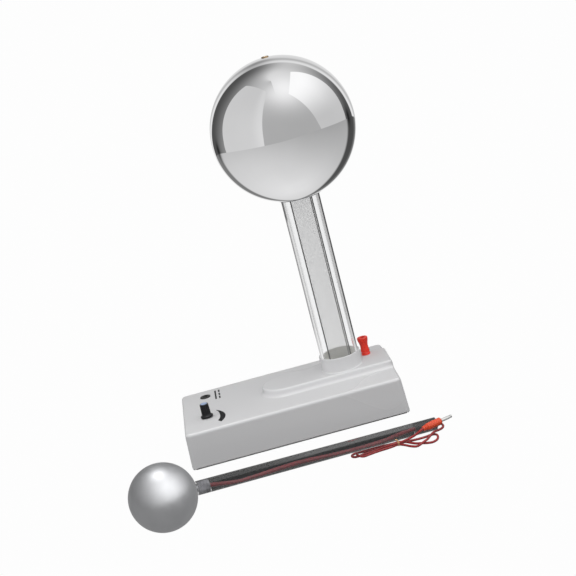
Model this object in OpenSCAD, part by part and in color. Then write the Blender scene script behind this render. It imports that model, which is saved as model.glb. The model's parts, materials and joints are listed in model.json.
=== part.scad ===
// Tabletop electrostatic belt generator with its discharge wand.
// Millimetres, +Z up. Origin: middle of the rectangle that the base stands on.
// +X runs from the control end to the column end, +Y to the back.

/* [Base] */
// Length of the base at its top face
base_l = 260; // [250:1:270]
// Depth of the base at its top face
base_w = 152; // [146:1:158]
// Height of the base's flat top
base_h = 43.5; // [43:0.5:45]
// Wall thickness of the moulded housing
wall = 3; // [2.5:0.5:3.5]
// How far each side leans out towards the bottom rim
draft = 2; // [1:0.5:3]
// Half width of the raised plinth under the column
pad_r = 29; // [28:0.5:31]
// Height of the plinth above the flat top
pad_h = 9; // [8:0.5:10]

/* [Column] */
// Distance of the column axis from the middle of the base
col_x = 72; // [68:1:76]
// Outside diameter of the clear column tube
tube_od = 46.5; // [46:0.5:47]
// Wall thickness of the column tube
tube_t = 3; // [2.5:0.25:3]
// Height of the column tube's top edge
tube_top = 300; // [296:1:304]
// Outside radius of the collar that the tube stands in
collar_r = 25; // [25:0.25:26]
// Height of the collar's rim
collar_top = 70; // [66:1:74]

/* [Belt and rollers] */
// Width of the belt
belt_w = 25; // [22:0.5:25]
// Thickness of the belt
belt_t = 0.8; // [0.6:0.1:1]
// Radius of the driven lower roller
low_r = 8; // [7:0.5:8]
// Radius of the upper roller
up_r = 7; // [6.5:0.5:7]
// Height of the lower roller's axis
low_z = 24; // [24:0.5:25]
// Height of the upper roller's axis
up_z = 316; // [314:1:317]

/* [Dome] */
// Outside radius of the hollow dome
dome_r = 85; // [84:0.5:86]
// Wall thickness of the dome
dome_t = 1.2; // [1:0.1:1.5]
// Height of the dome's centre
dome_z = 350; // [349:0.5:351]

/* [Controls and terminal] */
// Distance of the speed knob to the left of the middle
knob_x = -101; // [-104:1:-98]
// Distance of the speed knob from the middle of the depth
knob_y = -31; // [-34:1:-28]
// Distance of the power socket to the left of the middle
jack_x = -100; // [-103:1:-97]
// Distance of the power socket from the middle of the depth
jack_y = 48; // [45:1:50]
// Position of the earth terminal along the base
term_x = 105; // [104:0.5:107]
// Position of the earth terminal in depth
term_y = 19; // [18:0.5:20]

/* [Wand] */
// Radius of the discharge ball
ball_r = 37; // [36.5:0.5:37]
// Outside diameter of the clear handle tube
handle_od = 14.5; // [14:0.5:14.5]
// Bore of the handle tube
handle_id = 11; // [10.5:0.5:11]
// Diameter of the flexible lead
lead_d = 2.7; // [2.5:0.1:2.8]

/* [Hidden] */
$fn = 64;
e = 0.01;
tube_r = tube_od / 2;
tube_ri = tube_r - tube_t;
pad_z = base_h + pad_h;
pad_right = base_l / 2 - 0.2;
seat_z = 46.5;
cover_z = 3;
cover_t = 2;
floor_z = cover_z + cover_t;
boss_x = 119;
boss_y = 66;
ring_top = tube_top + 1;
lip_top = ring_top + 2.5;
hole_r = 26;
hole_z = dome_z - sqrt(pow(dome_r, 2) - pow(hole_r, 2));
dome_top = dome_z + dome_r;
lead_r = lead_d / 2;

// The wand lies on the table: ball centre, and the centre of the handle's far end
ball_c = [-160.2, -231.2, ball_r];
hand_e = [148.0, -153.6, 7.3];
hand_d = hand_e - ball_c;
hand_l = norm(hand_d);
hand_yaw = atan2(hand_d[1], hand_d[0]);
hand_dip = asin(-hand_d[2] / hand_l);
hand_u = hand_d / hand_l;

// The plug lies across the hank: back of its sleeve, and the tip of its pin
plug_a = [130.9, -172.6, 12.3];
plug_b = [152.8, -163, 12.3];
plug_len = norm(plug_b - plug_a);
plug_yaw = atan2(plug_b[1] - plug_a[1], plug_b[0] - plug_a[0]);
plug_r = 4.3;
pin_len = 15.5;

// Lead from the handle's end round to the hank, and from the hank to the plug
route_out = [[148.15, -153.56, 7.3], [149.8, -153.3, 7.05], [152.3, -153.4, 6.3], [154.4, -154.9, 5.3], [155.3, -157.3, 4.3],
  [154.6, -160, 3.5], [152.4, -162.3, 3.1], [149.2, -164.3, 3.1], [145.6, -166.4, 3.5]];
route_in = [[118.5, -173.9, 7.45], [121.5, -173.9, 8.6], [125, -173.9, 10.1], [128.1, -173.5, 11.5], [130.8, -172.65, 12.3]];

// The hank lies in two layers: folds at its left end, loops at its right end, and the tie round its waist
fold_a = [52.8, -168.3];
fold_b = [58.2, -173.4];
fold_r = 6.8;
tie_x = [99, 102];
waist = [[-169.3, 1.8, -90, 30], [-170.7, 4.2, 30, 90], [-173.4, 4.2, 90, 210], [-172, 1.8, 210, 270]];
hank_front = [[68.3, -177.8], [75.9, -176.3], [86, -175.1], [92, -174.1], [98.5, -173.5], [102.5, -174.2], [106.2, -179.6], [110.7, -185.9],
  [114.2, -190.4], [117.2, -191.8], [121, -192.2], [126, -191.2], [131, -191], [136.3, -192.3], [139.8, -191], [143, -187.6], [145.4, -181],
  [145.9, -173], [146.3, -168]];
hank_back = [[144.6, -165.4], [141, -167], [137.2, -167.3], [132.9, -168.6], [126, -169.1], [120.6, -168.9], [113, -167.5], [107, -166.8],
  [102.5, -167.6], [98.5, -167.8], [92, -167.4], [84, -166.9], [75, -165.5], [66, -163.7], [58, -162.1]];
upper_left = [[62, -165.5], [70, -165.5], [80, -166.9], [86, -168.1], [92, -169], [98.5, -169.3], [98.5, -174.8], [92, -174.5], [86, -173.8],
  [80, -173.2], [74, -172.9], [66, -172.9], [62, -175.5], [60.4, -179.8]];
upper_right = [[102.5, -169.3], [107, -169.9], [111, -170.6], [117, -171.8], [117, -177.2], [112.5, -177.2], [108, -175.4], [102.5, -175]];
upper_ridge = [[124.4, -191.4], [128.8, -189.8], [132.6, -186.5], [136.2, -180.8], [139.7, -175.3], [143, -170.9], [146.4, -167.7],
  [144.6, -165.4], [141, -168.7], [137.3, -173.7], [133.8, -179.2], [130.4, -184.5], [127.2, -187.4], [123.6, -188.6]];

function arc(cx, cy, r, a0, a1, n) = [for (i = [0:n]) let (a = a0 + (a1 - a0) * i / n) [cx + r * cos(a), cy + r * sin(a)]];
function unit(v) = v / norm(v);
function tangent(p, i) = unit(p[min(i + 1, len(p) - 1)] - p[max(i - 1, 0)]);
function side_of(t) = abs(t[2]) > 0.9 ? unit(cross(t, [1, 0, 0])) : unit(cross(t, [0, 0, 1]));
function ring_at(p, i, r, n) = let (t = tangent(p, i), a = side_of(t), b = cross(t, a))
  [for (k = [0:n - 1]) p[i] + r * (cos(360 * k / n) * a + sin(360 * k / n) * b)];

// Round cord of radius r that follows the points p
module cord_tube(p, r, n = 8) {
  m = len(p);
  pts = [for (i = [0:m - 1]) each ring_at(p, i, r, n)];
  faces = concat([[for (k = [0:n - 1]) k]],
    [for (i = [0:m - 2], k = [0:n - 1]) [i * n + (k + 1) % n, i * n + k, (i + 1) * n + k]],
    [for (i = [0:m - 2], k = [0:n - 1]) [i * n + (k + 1) % n, (i + 1) * n + k, (i + 1) * n + (k + 1) % n]],
    [[for (k = [n - 1:-1:0]) (m - 1) * n + k]]);
  polyhedron(points = pts, faces = faces);
}

module at_column() translate([col_x, 0, 0]) children();
module along_x(x) translate([x, 0, 0]) rotate([0, 90, 0]) children();
module at_knob() translate([knob_x, knob_y, 0]) children();
module at_jack() translate([jack_x, jack_y, 0]) children();
module at_term() translate([term_x, term_y, 0]) children();
module at_wand(s = 0) translate(ball_c) rotate([0, hand_dip, hand_yaw]) translate([s, 0, 0]) rotate([0, 90, 0]) children();
module at_plug(s = 0) translate(plug_a) rotate([0, 0, plug_yaw]) translate([s, 0, 0]) rotate([0, 90, 0]) children();
module screw_points() for (x = [-boss_x, boss_x], y = [-boss_y, boss_y]) translate([x, y, 0]) children();

// Corner post of the housing with a rounded top edge
module rounded_post(r, z0, z1, edge, lean) {
  translate([0, 0, z0]) cylinder(r = r + lean, h = e, $fn = 28);
  for (a = [0:18:90]) translate([0, 0, z1 - edge + edge * sin(a) - e])
    cylinder(r = max(r - edge + edge * cos(a), 0.05), h = e, $fn = 28);
}

module housing_block() {
  hull() for (x = [-1, 1], y = [-1, 1])
    translate([x * (base_l / 2 - 6), y * (base_w / 2 - 6), 0]) rounded_post(6, 0, base_h, 3, draft);
}

module plinth_block() {
  hull() {
    rounded_post(pad_r, 40, pad_z, 2.5, 0);
    for (y = [-1, 1]) translate([pad_right - 4, y * (pad_r - 4), 0]) rounded_post(4, 40, pad_z, 2.5, 0);
  }
}

// Ring on the plinth that the column tube stands in
module tube_socket() {
  color([0.86, 0.86, 0.87]) at_column() rotate_extrude($fn = 96) polygon(concat(
    [[tube_r + 0.05, pad_z], [collar_r + 1.4, pad_z]],
    arc(collar_r + 1.4, pad_z + 1.4, 1.4, 270, 180, 5),
    arc(collar_r - 0.8, collar_top - 0.8, 0.8, 0, 90, 4),
    arc(tube_r + 0.35, collar_top - 0.3, 0.3, 90, 180, 2)));
}

module base_shell() {
  color([0.86, 0.86, 0.87]) difference() {
    union() {
      difference() {
        union() { housing_block(); plinth_block(); }
        translate([-base_l / 2 + wall, -base_w / 2 + wall, -1]) cube([base_l - 2 * wall, base_w - 2 * wall, base_h - wall + 1]);
        cylinder(r = pad_r - wall, h = pad_z - wall);
        translate([0, -pad_r + wall, 10]) cube([base_l / 2 - wall, 2 * (pad_r - wall), pad_z - wall - 10]);
      }
      at_column() translate([0, 0, base_h]) cylinder(r = pad_r - wall + 0.5, h = pad_z - wall + 0.5 - base_h, $fn = 96);
      screw_points() translate([0, 0, floor_z]) cylinder(r = 4.5, h = base_h - wall + 0.5 - floor_z);
      translate([-boss_x - 9, -boss_y - 1.5, floor_z]) cube([9, 3, 35]);
      translate([-boss_x - 9, boss_y - 1.5, floor_z]) cube([9, 3, 35]);
      translate([boss_x, -boss_y - 1.5, floor_z]) cube([9, 3, 35]);
      translate([boss_x, boss_y - 1.5, floor_z]) cube([9, 3, 35]);
    }
    at_column() translate([0, 0, seat_z]) cylinder(r = tube_r + 0.05, h = 40, $fn = 96);
    at_column() translate([0, 0, 40]) cylinder(r = tube_ri + 0.25, h = 10, $fn = 96);
    screw_points() translate([0, 0, floor_z - 1]) cylinder(r = 1.45, h = 14);
    at_knob() translate([0, 0, 30]) cylinder(r = 3.6, h = 20);
    at_jack() translate([0, 0, 30]) cylinder(r = 5.6, h = 20);
    at_term() translate([0, 0, 40]) cylinder(r = 3.1, h = 20);
  }
}

module bottom_cover() {
  color([0.25, 0.25, 0.26]) difference() {
    union() {
      translate([-base_l / 2 + wall + 0.5, -base_w / 2 + wall + 0.5, cover_z]) cube([base_l - 2 * wall - 1, base_w - 2 * wall - 1, cover_t]);
      for (x = [-72, -28], y = [-38, 8]) translate([x, y, floor_z - e]) cylinder(r = 3, h = 4 + e);
    }
    screw_points() translate([0, 0, 0]) cylinder(r = 1.6, h = 10);
    for (x = [-72, -28], y = [-38, 8]) translate([x, y, floor_z]) cylinder(r = 1.2, h = 5);
    for (x = [26, 42], y = [-10, 10]) translate([x, y, 0]) cylinder(r = 1.6, h = 10);
    for (y = [-12, 12]) translate([99, y, 0]) cylinder(r = 1.6, h = 10);
    for (x = [61, 83]) translate([x, 27, 0]) cylinder(r = 1.6, h = 10);
  }
}

module rubber_feet() {
  color([0.1, 0.1, 0.1]) for (x = [-104, 104], y = [-50, 50]) translate([x, y, 0]) rotate_extrude()
    polygon(concat([[0, 0]], arc(7, 0.6, 0.6, 270, 360, 3), [[7.6, cover_z], [0, cover_z]]));
}

module pan_screw(r, len, head_r = 2.8, head_h = 1.5) {
  translate([0, 0, -head_h]) difference() {
    cylinder(r = head_r, h = head_h);
    translate([-0.35, -1.7, -1]) cube([0.7, 3.4, 1.8]);
    translate([-1.7, -0.35, -1]) cube([3.4, 0.7, 1.8]);
  }
  translate([0, 0, -0.1]) cylinder(r = r, h = len + 0.1);
}

module cover_screws() {
  color([0.55, 0.56, 0.58]) screw_points() translate([0, 0, cover_z]) pan_screw(1.4, 13);
}

module frame_screws() {
  color([0.6, 0.6, 0.62]) {
    for (x = [26, 42], y = [-10, 10]) translate([x, y, cover_z]) pan_screw(1.4, 3.9);
    for (y = [-12, 12]) translate([99, y, cover_z]) pan_screw(1.4, 5.4);
    for (x = [61, 83]) translate([x, 27, cover_z]) pan_screw(1.4, 3.9);
    for (y = [-8, 8]) translate([51.6, y, low_z]) rotate([0, -90, 0]) pan_screw(1.2, 4.2, 2.2, 1.3);
    for (x = [-72, -28], y = [-38, 8]) translate([x, y, 10.6]) rotate([180, 0, 0]) pan_screw(1.2, 5.2, 2.4, 1.5);
  }
}

module motor_can() {
  color([0.66, 0.67, 0.69]) difference() {
    union() {
      translate([0, 0, low_z]) along_x(16) cylinder(r = 13.8, h = 34);
      translate([0, 0, low_z]) along_x(50) cylinder(r = 5, h = 2.6);
    }
    translate([0, 0, low_z]) along_x(15) cylinder(r = 12.8, h = 33.6);
    translate([0, 0, low_z]) along_x(40) cylinder(r = 1.56, h = 20);
    for (y = [-8, 8]) translate([44, y, low_z]) rotate([0, 90, 0]) cylinder(r = 1.2, h = 10);
  }
}

module motor_end_cap() {
  color([0.92, 0.92, 0.9]) difference() {
    union() {
      translate([0, 0, low_z]) along_x(13.4) cylinder(r = 13.8, h = 2.6);
      translate([0, 0, low_z]) along_x(10.6) cylinder(r = 4, h = 3);
    }
    translate([0, 0, low_z]) along_x(12) cylinder(r = 1.56, h = 10);
    for (y = [-9, 9]) translate([10, y, low_z]) rotate([0, 90, 0]) cylinder(r = 0.7, h = 10);
  }
}

module motor_magnets() {
  color([0.2, 0.2, 0.21]) for (m = [0, 180]) translate([0, 0, low_z]) rotate([m + 30, 0, 0]) along_x(21)
    rotate_extrude(angle = 120) translate([10.2, 0]) square([2.55, 25]);
}

module motor_bracket() {
  color([0.72, 0.73, 0.74]) difference() {
    union() {
      translate([50, -14, floor_z]) cube([1.6, 28, 33.5]);
      translate([20, -14, floor_z]) cube([31, 28, 1.6]);
    }
    translate([0, 0, low_z]) along_x(49) cylinder(r = 5.05, h = 4);
    for (y = [-8, 8]) translate([49, y, low_z]) rotate([0, 90, 0]) cylinder(r = 1.3, h = 4);
    for (x = [26, 42], y = [-10, 10]) translate([x, y, 4]) cylinder(r = 1.4, h = 4);
  }
}

module bearing_stand() {
  color([0.82, 0.82, 0.8]) difference() {
    union() {
      translate([89, -9, floor_z]) cube([5, 18, 26]);
      translate([89, -17, floor_z]) cube([15, 34, 4]);
    }
    translate([0, 0, low_z]) along_x(88) cylinder(r = 3, h = 8);
    for (y = [-12, 12]) translate([99, y, 4]) cylinder(r = 1.4, h = 8);
  }
}

module outboard_bush() {
  color([0.8, 0.65, 0.35]) difference() {
    translate([0, 0, low_z]) union() {
      along_x(87.8) cylinder(r = 4, h = 1.2);
      along_x(88.9) cylinder(r = 3, h = 5.1);
    }
    translate([0, 0, low_z]) along_x(80) cylinder(r = 1.56, h = 20);
  }
}

// Saw-toothed collector strip, teeth pointing towards -Z
module comb_strip(w, h, n) {
  step = w / n;
  linear_extrude(0.4) polygon(concat([[w, h], [0, h]], [for (i = [0:2 * n]) [i * step / 2, i % 2 == 0 ? 2.4 : 0]]));
}

module lower_comb() {
  color([0.85, 0.7, 0.4]) translate([col_x - 12, 10.2, low_z - 0.2]) rotate([0, 0, 0])
    translate([0, 0, 0.4]) rotate([180, 0, 0]) mirror([0, 1, 0]) comb_strip(24, 10, 12);
}

module comb_bracket() {
  color([0.7, 0.71, 0.72]) difference() {
    union() {
      translate([col_x - 15, 17.4, floor_z]) cube([30, 1.4, low_z - 0.2 - floor_z]);
      translate([col_x - 15, 17.4, floor_z]) cube([30, 14, 1.4]);
    }
    for (x = [61, 83]) translate([x, 27, 4]) cylinder(r = 1.4, h = 6);
  }
}

module drive_belt() {
  color([0.93, 0.93, 0.9]) translate([col_x - belt_w / 2, 0, 0]) rotate([90, 0, 90]) linear_extrude(belt_w) difference() {
    hull() {
      translate([0, low_z]) circle(r = low_r + 0.3 + belt_t, $fn = 48);
      translate([0, up_z]) circle(r = up_r + 0.3 + belt_t, $fn = 48);
    }
    hull() {
      translate([0, low_z]) circle(r = low_r + 0.3, $fn = 48);
      translate([0, up_z]) circle(r = up_r + 0.3, $fn = 48);
    }
  }
}

module control_board() {
  color([0.15, 0.42, 0.25]) difference() {
    translate([-78, -44, 9]) cube([56, 58, 1.6]);
    for (x = [-72, -28], y = [-38, 8]) translate([x, y, 8]) cylinder(r = 1.4, h = 4);
  }
}

module driver_transistor() {
  color([0.12, 0.12, 0.13]) {
    translate([-60, -20, 14]) cube([10, 4.4, 9]);
    difference() {
      translate([-60, -15.7, 14]) cube([10, 1.3, 15.5]);
      translate([-55, -10, 26]) rotate([90, 0, 0]) cylinder(r = 1.8, h = 20);
    }
    for (x = [-57.5, -55, -52.5]) translate([x - 0.35, -18, 10.6]) cube([0.7, 0.6, 3.6]);
  }
}

module board_capacitor() {
  color([0.15, 0.2, 0.45]) translate([-38, -6, 10.6]) rotate_extrude() polygon(concat([[0, 0], [5, 0]], arc(4.5, 12.5, 0.5, 0, 90, 3), [[0, 13]]));
}

module speed_pot() {
  color([0.62, 0.6, 0.55]) at_knob() difference() {
    union() {
      translate([0, 0, 30.5]) cylinder(r = 8.2, h = 8);
      translate([0, 0, 38.4]) cylinder(r = 4.6, h = base_h - wall - 38.4);
      translate([0, 0, 38.4]) cylinder(r = 3.5, h = 9.4);
      translate([-5, -14, 31]) cube([10, 8, 1.2]);
    }
    translate([0, 0, 32]) cylinder(r = 3.05, h = 20);
  }
}

module pot_nut() {
  color([0.75, 0.75, 0.76]) at_knob() translate([0, 0, base_h]) difference() {
    cylinder(r = 5.6, h = 1.8, $fn = 6);
    translate([0, 0, -1]) cylinder(r = 3.5, h = 4);
  }
}

module dc_jack() {
  color([0.07, 0.07, 0.07]) at_jack() difference() {
    union() {
      translate([0, 0, base_h]) rotate_extrude() polygon(concat([[0, 0], [6.5, 0]], arc(6.1, 0.8, 0.4, 0, 90, 3), [[0, 1.2]]));
      translate([0, 0, 24]) cylinder(r = 5.5, h = base_h - 24 + 0.1);
    }
    translate([0, 0, 31]) cylinder(r = 3, h = 20);
    translate([0, 0, 20]) cylinder(r = 1.05, h = 20);
  }
}

module dc_jack_nut() {
  color([0.72, 0.72, 0.74]) at_jack() translate([0, 0, base_h - wall - 2]) difference() {
    cylinder(r = 8, h = 2, $fn = 6);
    translate([0, 0, -1]) cylinder(r = 5.5, h = 4);
  }
}

module dc_jack_pin() {
  color([0.8, 0.78, 0.7]) at_jack() rotate_extrude() polygon(concat([[0, 21], [1.05, 21]], arc(0.45, 42.2, 0.6, 0, 90, 4), [[0, 42.8]]));
}

module terminal_base() {
  color([0.85, 0.12, 0.06]) at_term() difference() {
    union() {
      rotate_extrude() polygon([[0, pad_z], [5.4, pad_z], [5.4, pad_z + 2.6], [4.9, pad_z + 3.4], [0, pad_z + 3.4]]);
      translate([0, 0, pad_z - wall]) cylinder(r = 3.1, h = wall + 0.1);
    }
    translate([0, 0, 30]) cylinder(r = 2.9, h = 40);
  }
}

module terminal_stud() {
  color([0.82, 0.68, 0.4]) at_term() difference() {
    translate([0, 0, 39]) cylinder(r = 2.9, h = 34);
    translate([0, 0, 55]) cylinder(r = 2, h = 30);
  }
}

module terminal_nut() {
  color([0.8, 0.66, 0.38]) at_term() translate([0, 0, pad_z - wall - 3]) difference() {
    cylinder(r = 5.7, h = 3, $fn = 6);
    translate([0, 0, -1]) cylinder(r = 2.9, h = 5);
  }
}

module solder_tag() {
  color([0.84, 0.82, 0.74]) at_term() translate([0, 0, pad_z - wall - 3.6]) difference() {
    union() {
      cylinder(r = 4.6, h = 0.6);
      translate([-12, -2, 0]) cube([12, 4, 0.6]);
    }
    translate([0, 0, -1]) cylinder(r = 2.9, h = 3);
    translate([-10, 0, -1]) cylinder(r = 0.7, h = 3);
  }
}

module motor_leads() {
  color([0.75, 0.1, 0.08]) cord_tube([[13.3, 9, 24], [9, 10, 24], [3, 12, 19], [-5, 13, 13], [-14, 12, 11.8], [-24, 9, 11.6]], 0.65, 6);
  color([0.08, 0.08, 0.08]) cord_tube([[13.3, -9, 24], [9, -10, 24], [3, -12, 19], [-5, -13, 13], [-14, -12, 11.8], [-24, -9, 11.6]], 0.65, 6);
}

module supply_leads() {
  color([0.75, 0.1, 0.08]) cord_tube([[-97, 46, 23.3], [-96, 44, 19], [-94, 37, 14], [-88, 24, 12], [-80, 14, 11.8], [-74, 4, 11.6]], 0.65, 6);
  color([0.08, 0.08, 0.08]) cord_tube([[-103, 46, 23.3], [-104, 43, 18], [-102, 35, 13], [-96, 20, 11.6], [-86, 6, 11.4], [-75, 0, 11.6]], 0.65, 6);
  color([0.9, 0.8, 0.2]) cord_tube([[-101, -45.7, 31.6], [-101, -48, 30], [-98, -50, 22], [-90, -46, 14], [-82, -38, 11.8], [-75.5, -32, 11.6]], 0.65, 6);
}

module earth_lead() {
  color([0.2, 0.55, 0.2]) cord_tube([[84, 18.1, 24.6], [85.5, 18.6, 27.5], [90, 20, 32], [94, 20, 38], [95, 19, 42.5], [95, 19, 45.8]], 0.65, 6);
}

module column_tube() {
  color([0.85, 0.9, 0.92, 0.35]) at_column() translate([0, 0, seat_z]) difference() {
    cylinder(r = tube_r, h = tube_top - seat_z, $fn = 96);
    translate([0, 0, -1]) cylinder(r = tube_ri, h = tube_top - seat_z + 2, $fn = 96);
  }
}

module head_block() {
  color([0.9, 0.9, 0.88]) at_column() difference() {
    union() {
      translate([0, 0, tube_top - 12]) cylinder(r = tube_ri, h = 12, $fn = 96);
      for (s = [-1, 1]) translate([s * 16.2 - 1.7, -6, tube_top - 4]) cube([3.4, 12, up_z + 7 - tube_top + 4]);
    }
    translate([-14, -10.5, tube_top - 20]) cube([28, 21, 40]);
    translate([0, 0, up_z]) rotate([0, 90, 0]) translate([0, 0, -30]) cylinder(r = 2.5, h = 60);
  }
}

module contact_ring() {
  color([0.83, 0.7, 0.42]) at_column() translate([0, 0, tube_top]) difference() {
    cylinder(r = tube_r, h = 1, $fn = 96);
    translate([0, 0, -1]) cylinder(r = tube_ri + 0.3, h = 3, $fn = 96);
  }
}

module upper_bushes() {
  color([0.8, 0.65, 0.35]) at_column() for (s = [-1, 1]) translate([s * 16.2 - 1.7, 0, up_z]) rotate([0, 90, 0]) difference() {
    cylinder(r = 2.5, h = 3.4);
    translate([0, 0, -1]) cylinder(r = 1.56, h = 6);
  }
}

module upper_comb() {
  color([0.85, 0.7, 0.4]) at_column() {
    translate([-12, 0.2, up_z + up_r + belt_t + 1.3]) rotate([90, 0, 0]) comb_strip(24, 9, 12);
    translate([-9, 0.2, up_z + up_r + belt_t + 9.3]) cube([18, 14.6, 1]);
    translate([-9, 13.8, ring_top]) cube([18, 1, up_z + up_r + belt_t + 9.4 - ring_top]);
    translate([-5, 13.8, ring_top - 1.0]) cube([10, 1, 1.1]);
    intersection() {
      translate([-5, 13.8, ring_top - 1]) cube([10, 8, 1]);
      translate([0, 0, ring_top - 2]) cylinder(r = tube_ri + 0.3, h = 4, $fn = 96);
    }
  }
}

module motor_shaft() {
  color([0.75, 0.76, 0.78]) translate([0, 0, low_z]) along_x(12.2) cylinder(r = 1.5, h = 83);
}

module motor_armature() {
  color([0.5, 0.32, 0.2]) translate([0, 0, low_z]) {
    along_x(24) difference() { cylinder(r = 9.4, h = 20); translate([0, 0, -1]) cylinder(r = 1.5, h = 22); }
    along_x(17.6) difference() { cylinder(r = 3.2, h = 6.4); translate([0, 0, -1]) cylinder(r = 1.5, h = 8); }
  }
}

// Crowned roller with a bore for its axle
module roller(r, w, bore) {
  rotate_extrude($fn = 96) polygon([[bore, -w / 2], [r - 0.9, -w / 2], [r - 0.3, -w / 2 + 0.6], [r, 0], [r - 0.3, w / 2 - 0.6], [r - 0.9, w / 2], [bore, w / 2]]);
}

module lower_roller() {
  color([0.93, 0.93, 0.91]) translate([0, 0, low_z]) along_x(col_x) roller(low_r, 26, 1.5);
}

module upper_axle() {
  color([0.75, 0.76, 0.78]) translate([0, 0, up_z]) along_x(col_x - 18.2) cylinder(r = 1.5, h = 36.4);
}

module upper_roller() {
  color([0.8, 0.78, 0.72]) translate([0, 0, up_z]) along_x(col_x) roller(up_r, 26, 1.5);
}

module speed_knob() {
  color([0.09, 0.09, 0.1]) at_knob() difference() {
    union() {
      rotate_extrude() polygon(concat([[0, 44.3], [7.3, 44.3], [7.3, 45.9]], arc(6.7, 46.1, 0.6, 0, 60, 3), [[5.4, 48.2], [5.0, 60.6]],
        arc(4.5, 60.7, 0.5, 0, 90, 3), [[0, 61.2]]));
      for (a = [0:20:340]) rotate([0, 0, a]) translate([4.9, -0.35, 48]) cube([0.45, 0.7, 12]);
    }
    translate([0, 0, 43]) cylinder(r = 6.1, h = 3);
    translate([0, 0, 43]) cylinder(r = 3.9, h = 5.6);
    translate([0, 0, 43]) cylinder(r = 3, h = 15);
    translate([0, 0, 60]) cylinder(r = 3.9, h = 5);
  }
}

module knob_cap() {
  color([0.55, 0.7, 0.9]) at_knob() union() {
    rotate_extrude() polygon(concat([[0, 60], [3.9, 60]], arc(3.4, 61.3, 0.5, 0, 90, 3), [[0, 61.8]]));
    translate([-0.4, -3.4, 61.2]) cube([0.8, 3.2, 0.9]);
  }
}

module pot_shaft() {
  color([0.7, 0.7, 0.72]) at_knob() translate([0, 0, 33]) cylinder(r = 3, h = 25);
}

module terminal_insert() {
  color([0.82, 0.68, 0.4]) at_term() translate([0, 0, 59]) difference() {
    cylinder(r = 3.9, h = 8);
    translate([0, 0, -1]) cylinder(r = 2.96, h = 10);
  }
}

module terminal_cap() {
  color([0.88, 0.14, 0.07]) at_term() difference() {
    rotate_extrude($fn = 96) polygon(concat([[0, pad_z + 3.8]], [[5.3, pad_z + 3.8], [5.5, pad_z + 4.4], [5.3, pad_z + 6.6]],
      [[4.85, pad_z + 9.5], [4.8, pad_z + 11.5], [5.1, pad_z + 14], [5.9, pad_z + 17], [6.5, pad_z + 19.2]],
      arc(5.5, pad_z + 21.4, 1.1, 0, 90, 4), [[0, pad_z + 22.5]]));
    translate([0, 0, 50]) cylinder(r = 3.3, h = 23.6);
    translate([0, 0, 59]) cylinder(r = 3.9, h = 8);
    translate([0, 0, 50]) cylinder(r = 2.8, h = 40);
    for (a = [0:30:330]) rotate([0, 0, a]) translate([7.1, 0, pad_z + 14]) cylinder(r = 0.95, h = 12, $fn = 16);
  }
}

module dome_shell() {
  color([0.82, 0.83, 0.85]) at_column() translate([0, 0, dome_z]) rotate_extrude($fn = 128) difference() {
    intersection() { circle(r = dome_r, $fn = 128); translate([0, -100]) square([100, 200]); }
    circle(r = dome_r - dome_t, $fn = 128);
    translate([-1, -100]) square([1 + hole_r, 100]);
    translate([-1, 0]) square([1 + 3.5, 100]);
  }
}

module dome_collar() {
  color([0.78, 0.79, 0.81]) at_column() difference() {
    union() {
      translate([0, 0, hole_z - 0.6]) cylinder(r = hole_r, h = lip_top - hole_z + 0.6, $fn = 96);
      translate([0, 0, hole_z + 4.4]) cylinder(r = 31, h = 1.8, $fn = 96);
    }
    translate([0, 0, hole_z - 5]) cylinder(r = tube_r + 0.3, h = ring_top + 0.02 - hole_z + 5, $fn = 96);
    translate([0, 0, hole_z]) cylinder(r = tube_ri + 0.75, h = 60, $fn = 96);
  }
}

module dome_socket() {
  color([0.72, 0.55, 0.3]) at_column() difference() {
    union() {
      translate([0, 0, dome_top - 14]) cylinder(r = 3.45, h = 14.2);
      rotate_extrude() polygon(concat([[0, dome_top], [4.3, dome_top]], arc(3.9, dome_top + 0.6, 0.4, 0, 90, 3), [[0, dome_top + 1]]));
    }
    translate([0, 0, dome_top - 12]) cylinder(r = 2, h = 30);
  }
}

module socket_nut() {
  color([0.72, 0.55, 0.3]) at_column() translate([0, 0, dome_top - dome_t - 3.4]) difference() {
    cylinder(r = 5.8, h = 3, $fn = 6);
    translate([0, 0, -1]) cylinder(r = 3.45, h = 5);
  }
}

module discharge_ball() {
  color([0.75, 0.76, 0.78]) at_wand() rotate_extrude($fn = 128) difference() {
    intersection() { circle(r = ball_r, $fn = 128); translate([0, -50]) square([50, 100]); }
    circle(r = ball_r - 1.2, $fn = 128);
    translate([-1, 0]) square([1 + 3, 50]);
  }
}

module ball_stud() {
  color([0.6, 0.61, 0.63]) {
    at_wand(26) cylinder(r = 3, h = 13);
    at_wand(38.4) cylinder(r = handle_id / 2, h = 13);
    at_wand(ball_r - 6.4) difference() { cylinder(r = 5.5, h = 4.4, $fn = 6); translate([0, 0, -1]) cylinder(r = 2.9, h = 7); }
  }
}

module handle_tube() {
  color([0.85, 0.9, 0.92, 0.35]) at_wand(37.6) difference() {
    cylinder(r = handle_od / 2, h = hand_l - 37.6);
    translate([0, 0, -1]) cylinder(r = handle_id / 2, h = hand_l);
  }
}

module handle_grommet() {
  color([0.08, 0.08, 0.08]) at_wand(hand_l - 26) difference() {
    cylinder(r = handle_id / 2, h = 26);
    translate([0, 0, -1]) cylinder(r = lead_r, h = 40);
  }
}

// Lead inside the handle: from the stud to the grommet in a lazy wave
module handle_lead() {
  n = 26;
  s0 = 51.9;
  s1 = hand_l;
  pts = [for (i = [0:n]) let (s = s0 + (s1 - s0) * i / n, k = min(1, min(s - s0 + 2, s1 - 34 - s) / 30), w = max(k, 0))
    [s, 1.5 * w * sin(s * 3.1), -2.6 * w + 0.9 * w * cos(s * 2.3)]];
  color([0.7, 0.08, 0.06]) translate(ball_c) rotate([0, hand_dip, hand_yaw]) cord_tube(pts, lead_r, 8);
}

module lead_out() {
  color([0.8, 0.09, 0.06]) cord_tube(route_out, lead_r, 8);
}

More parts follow.
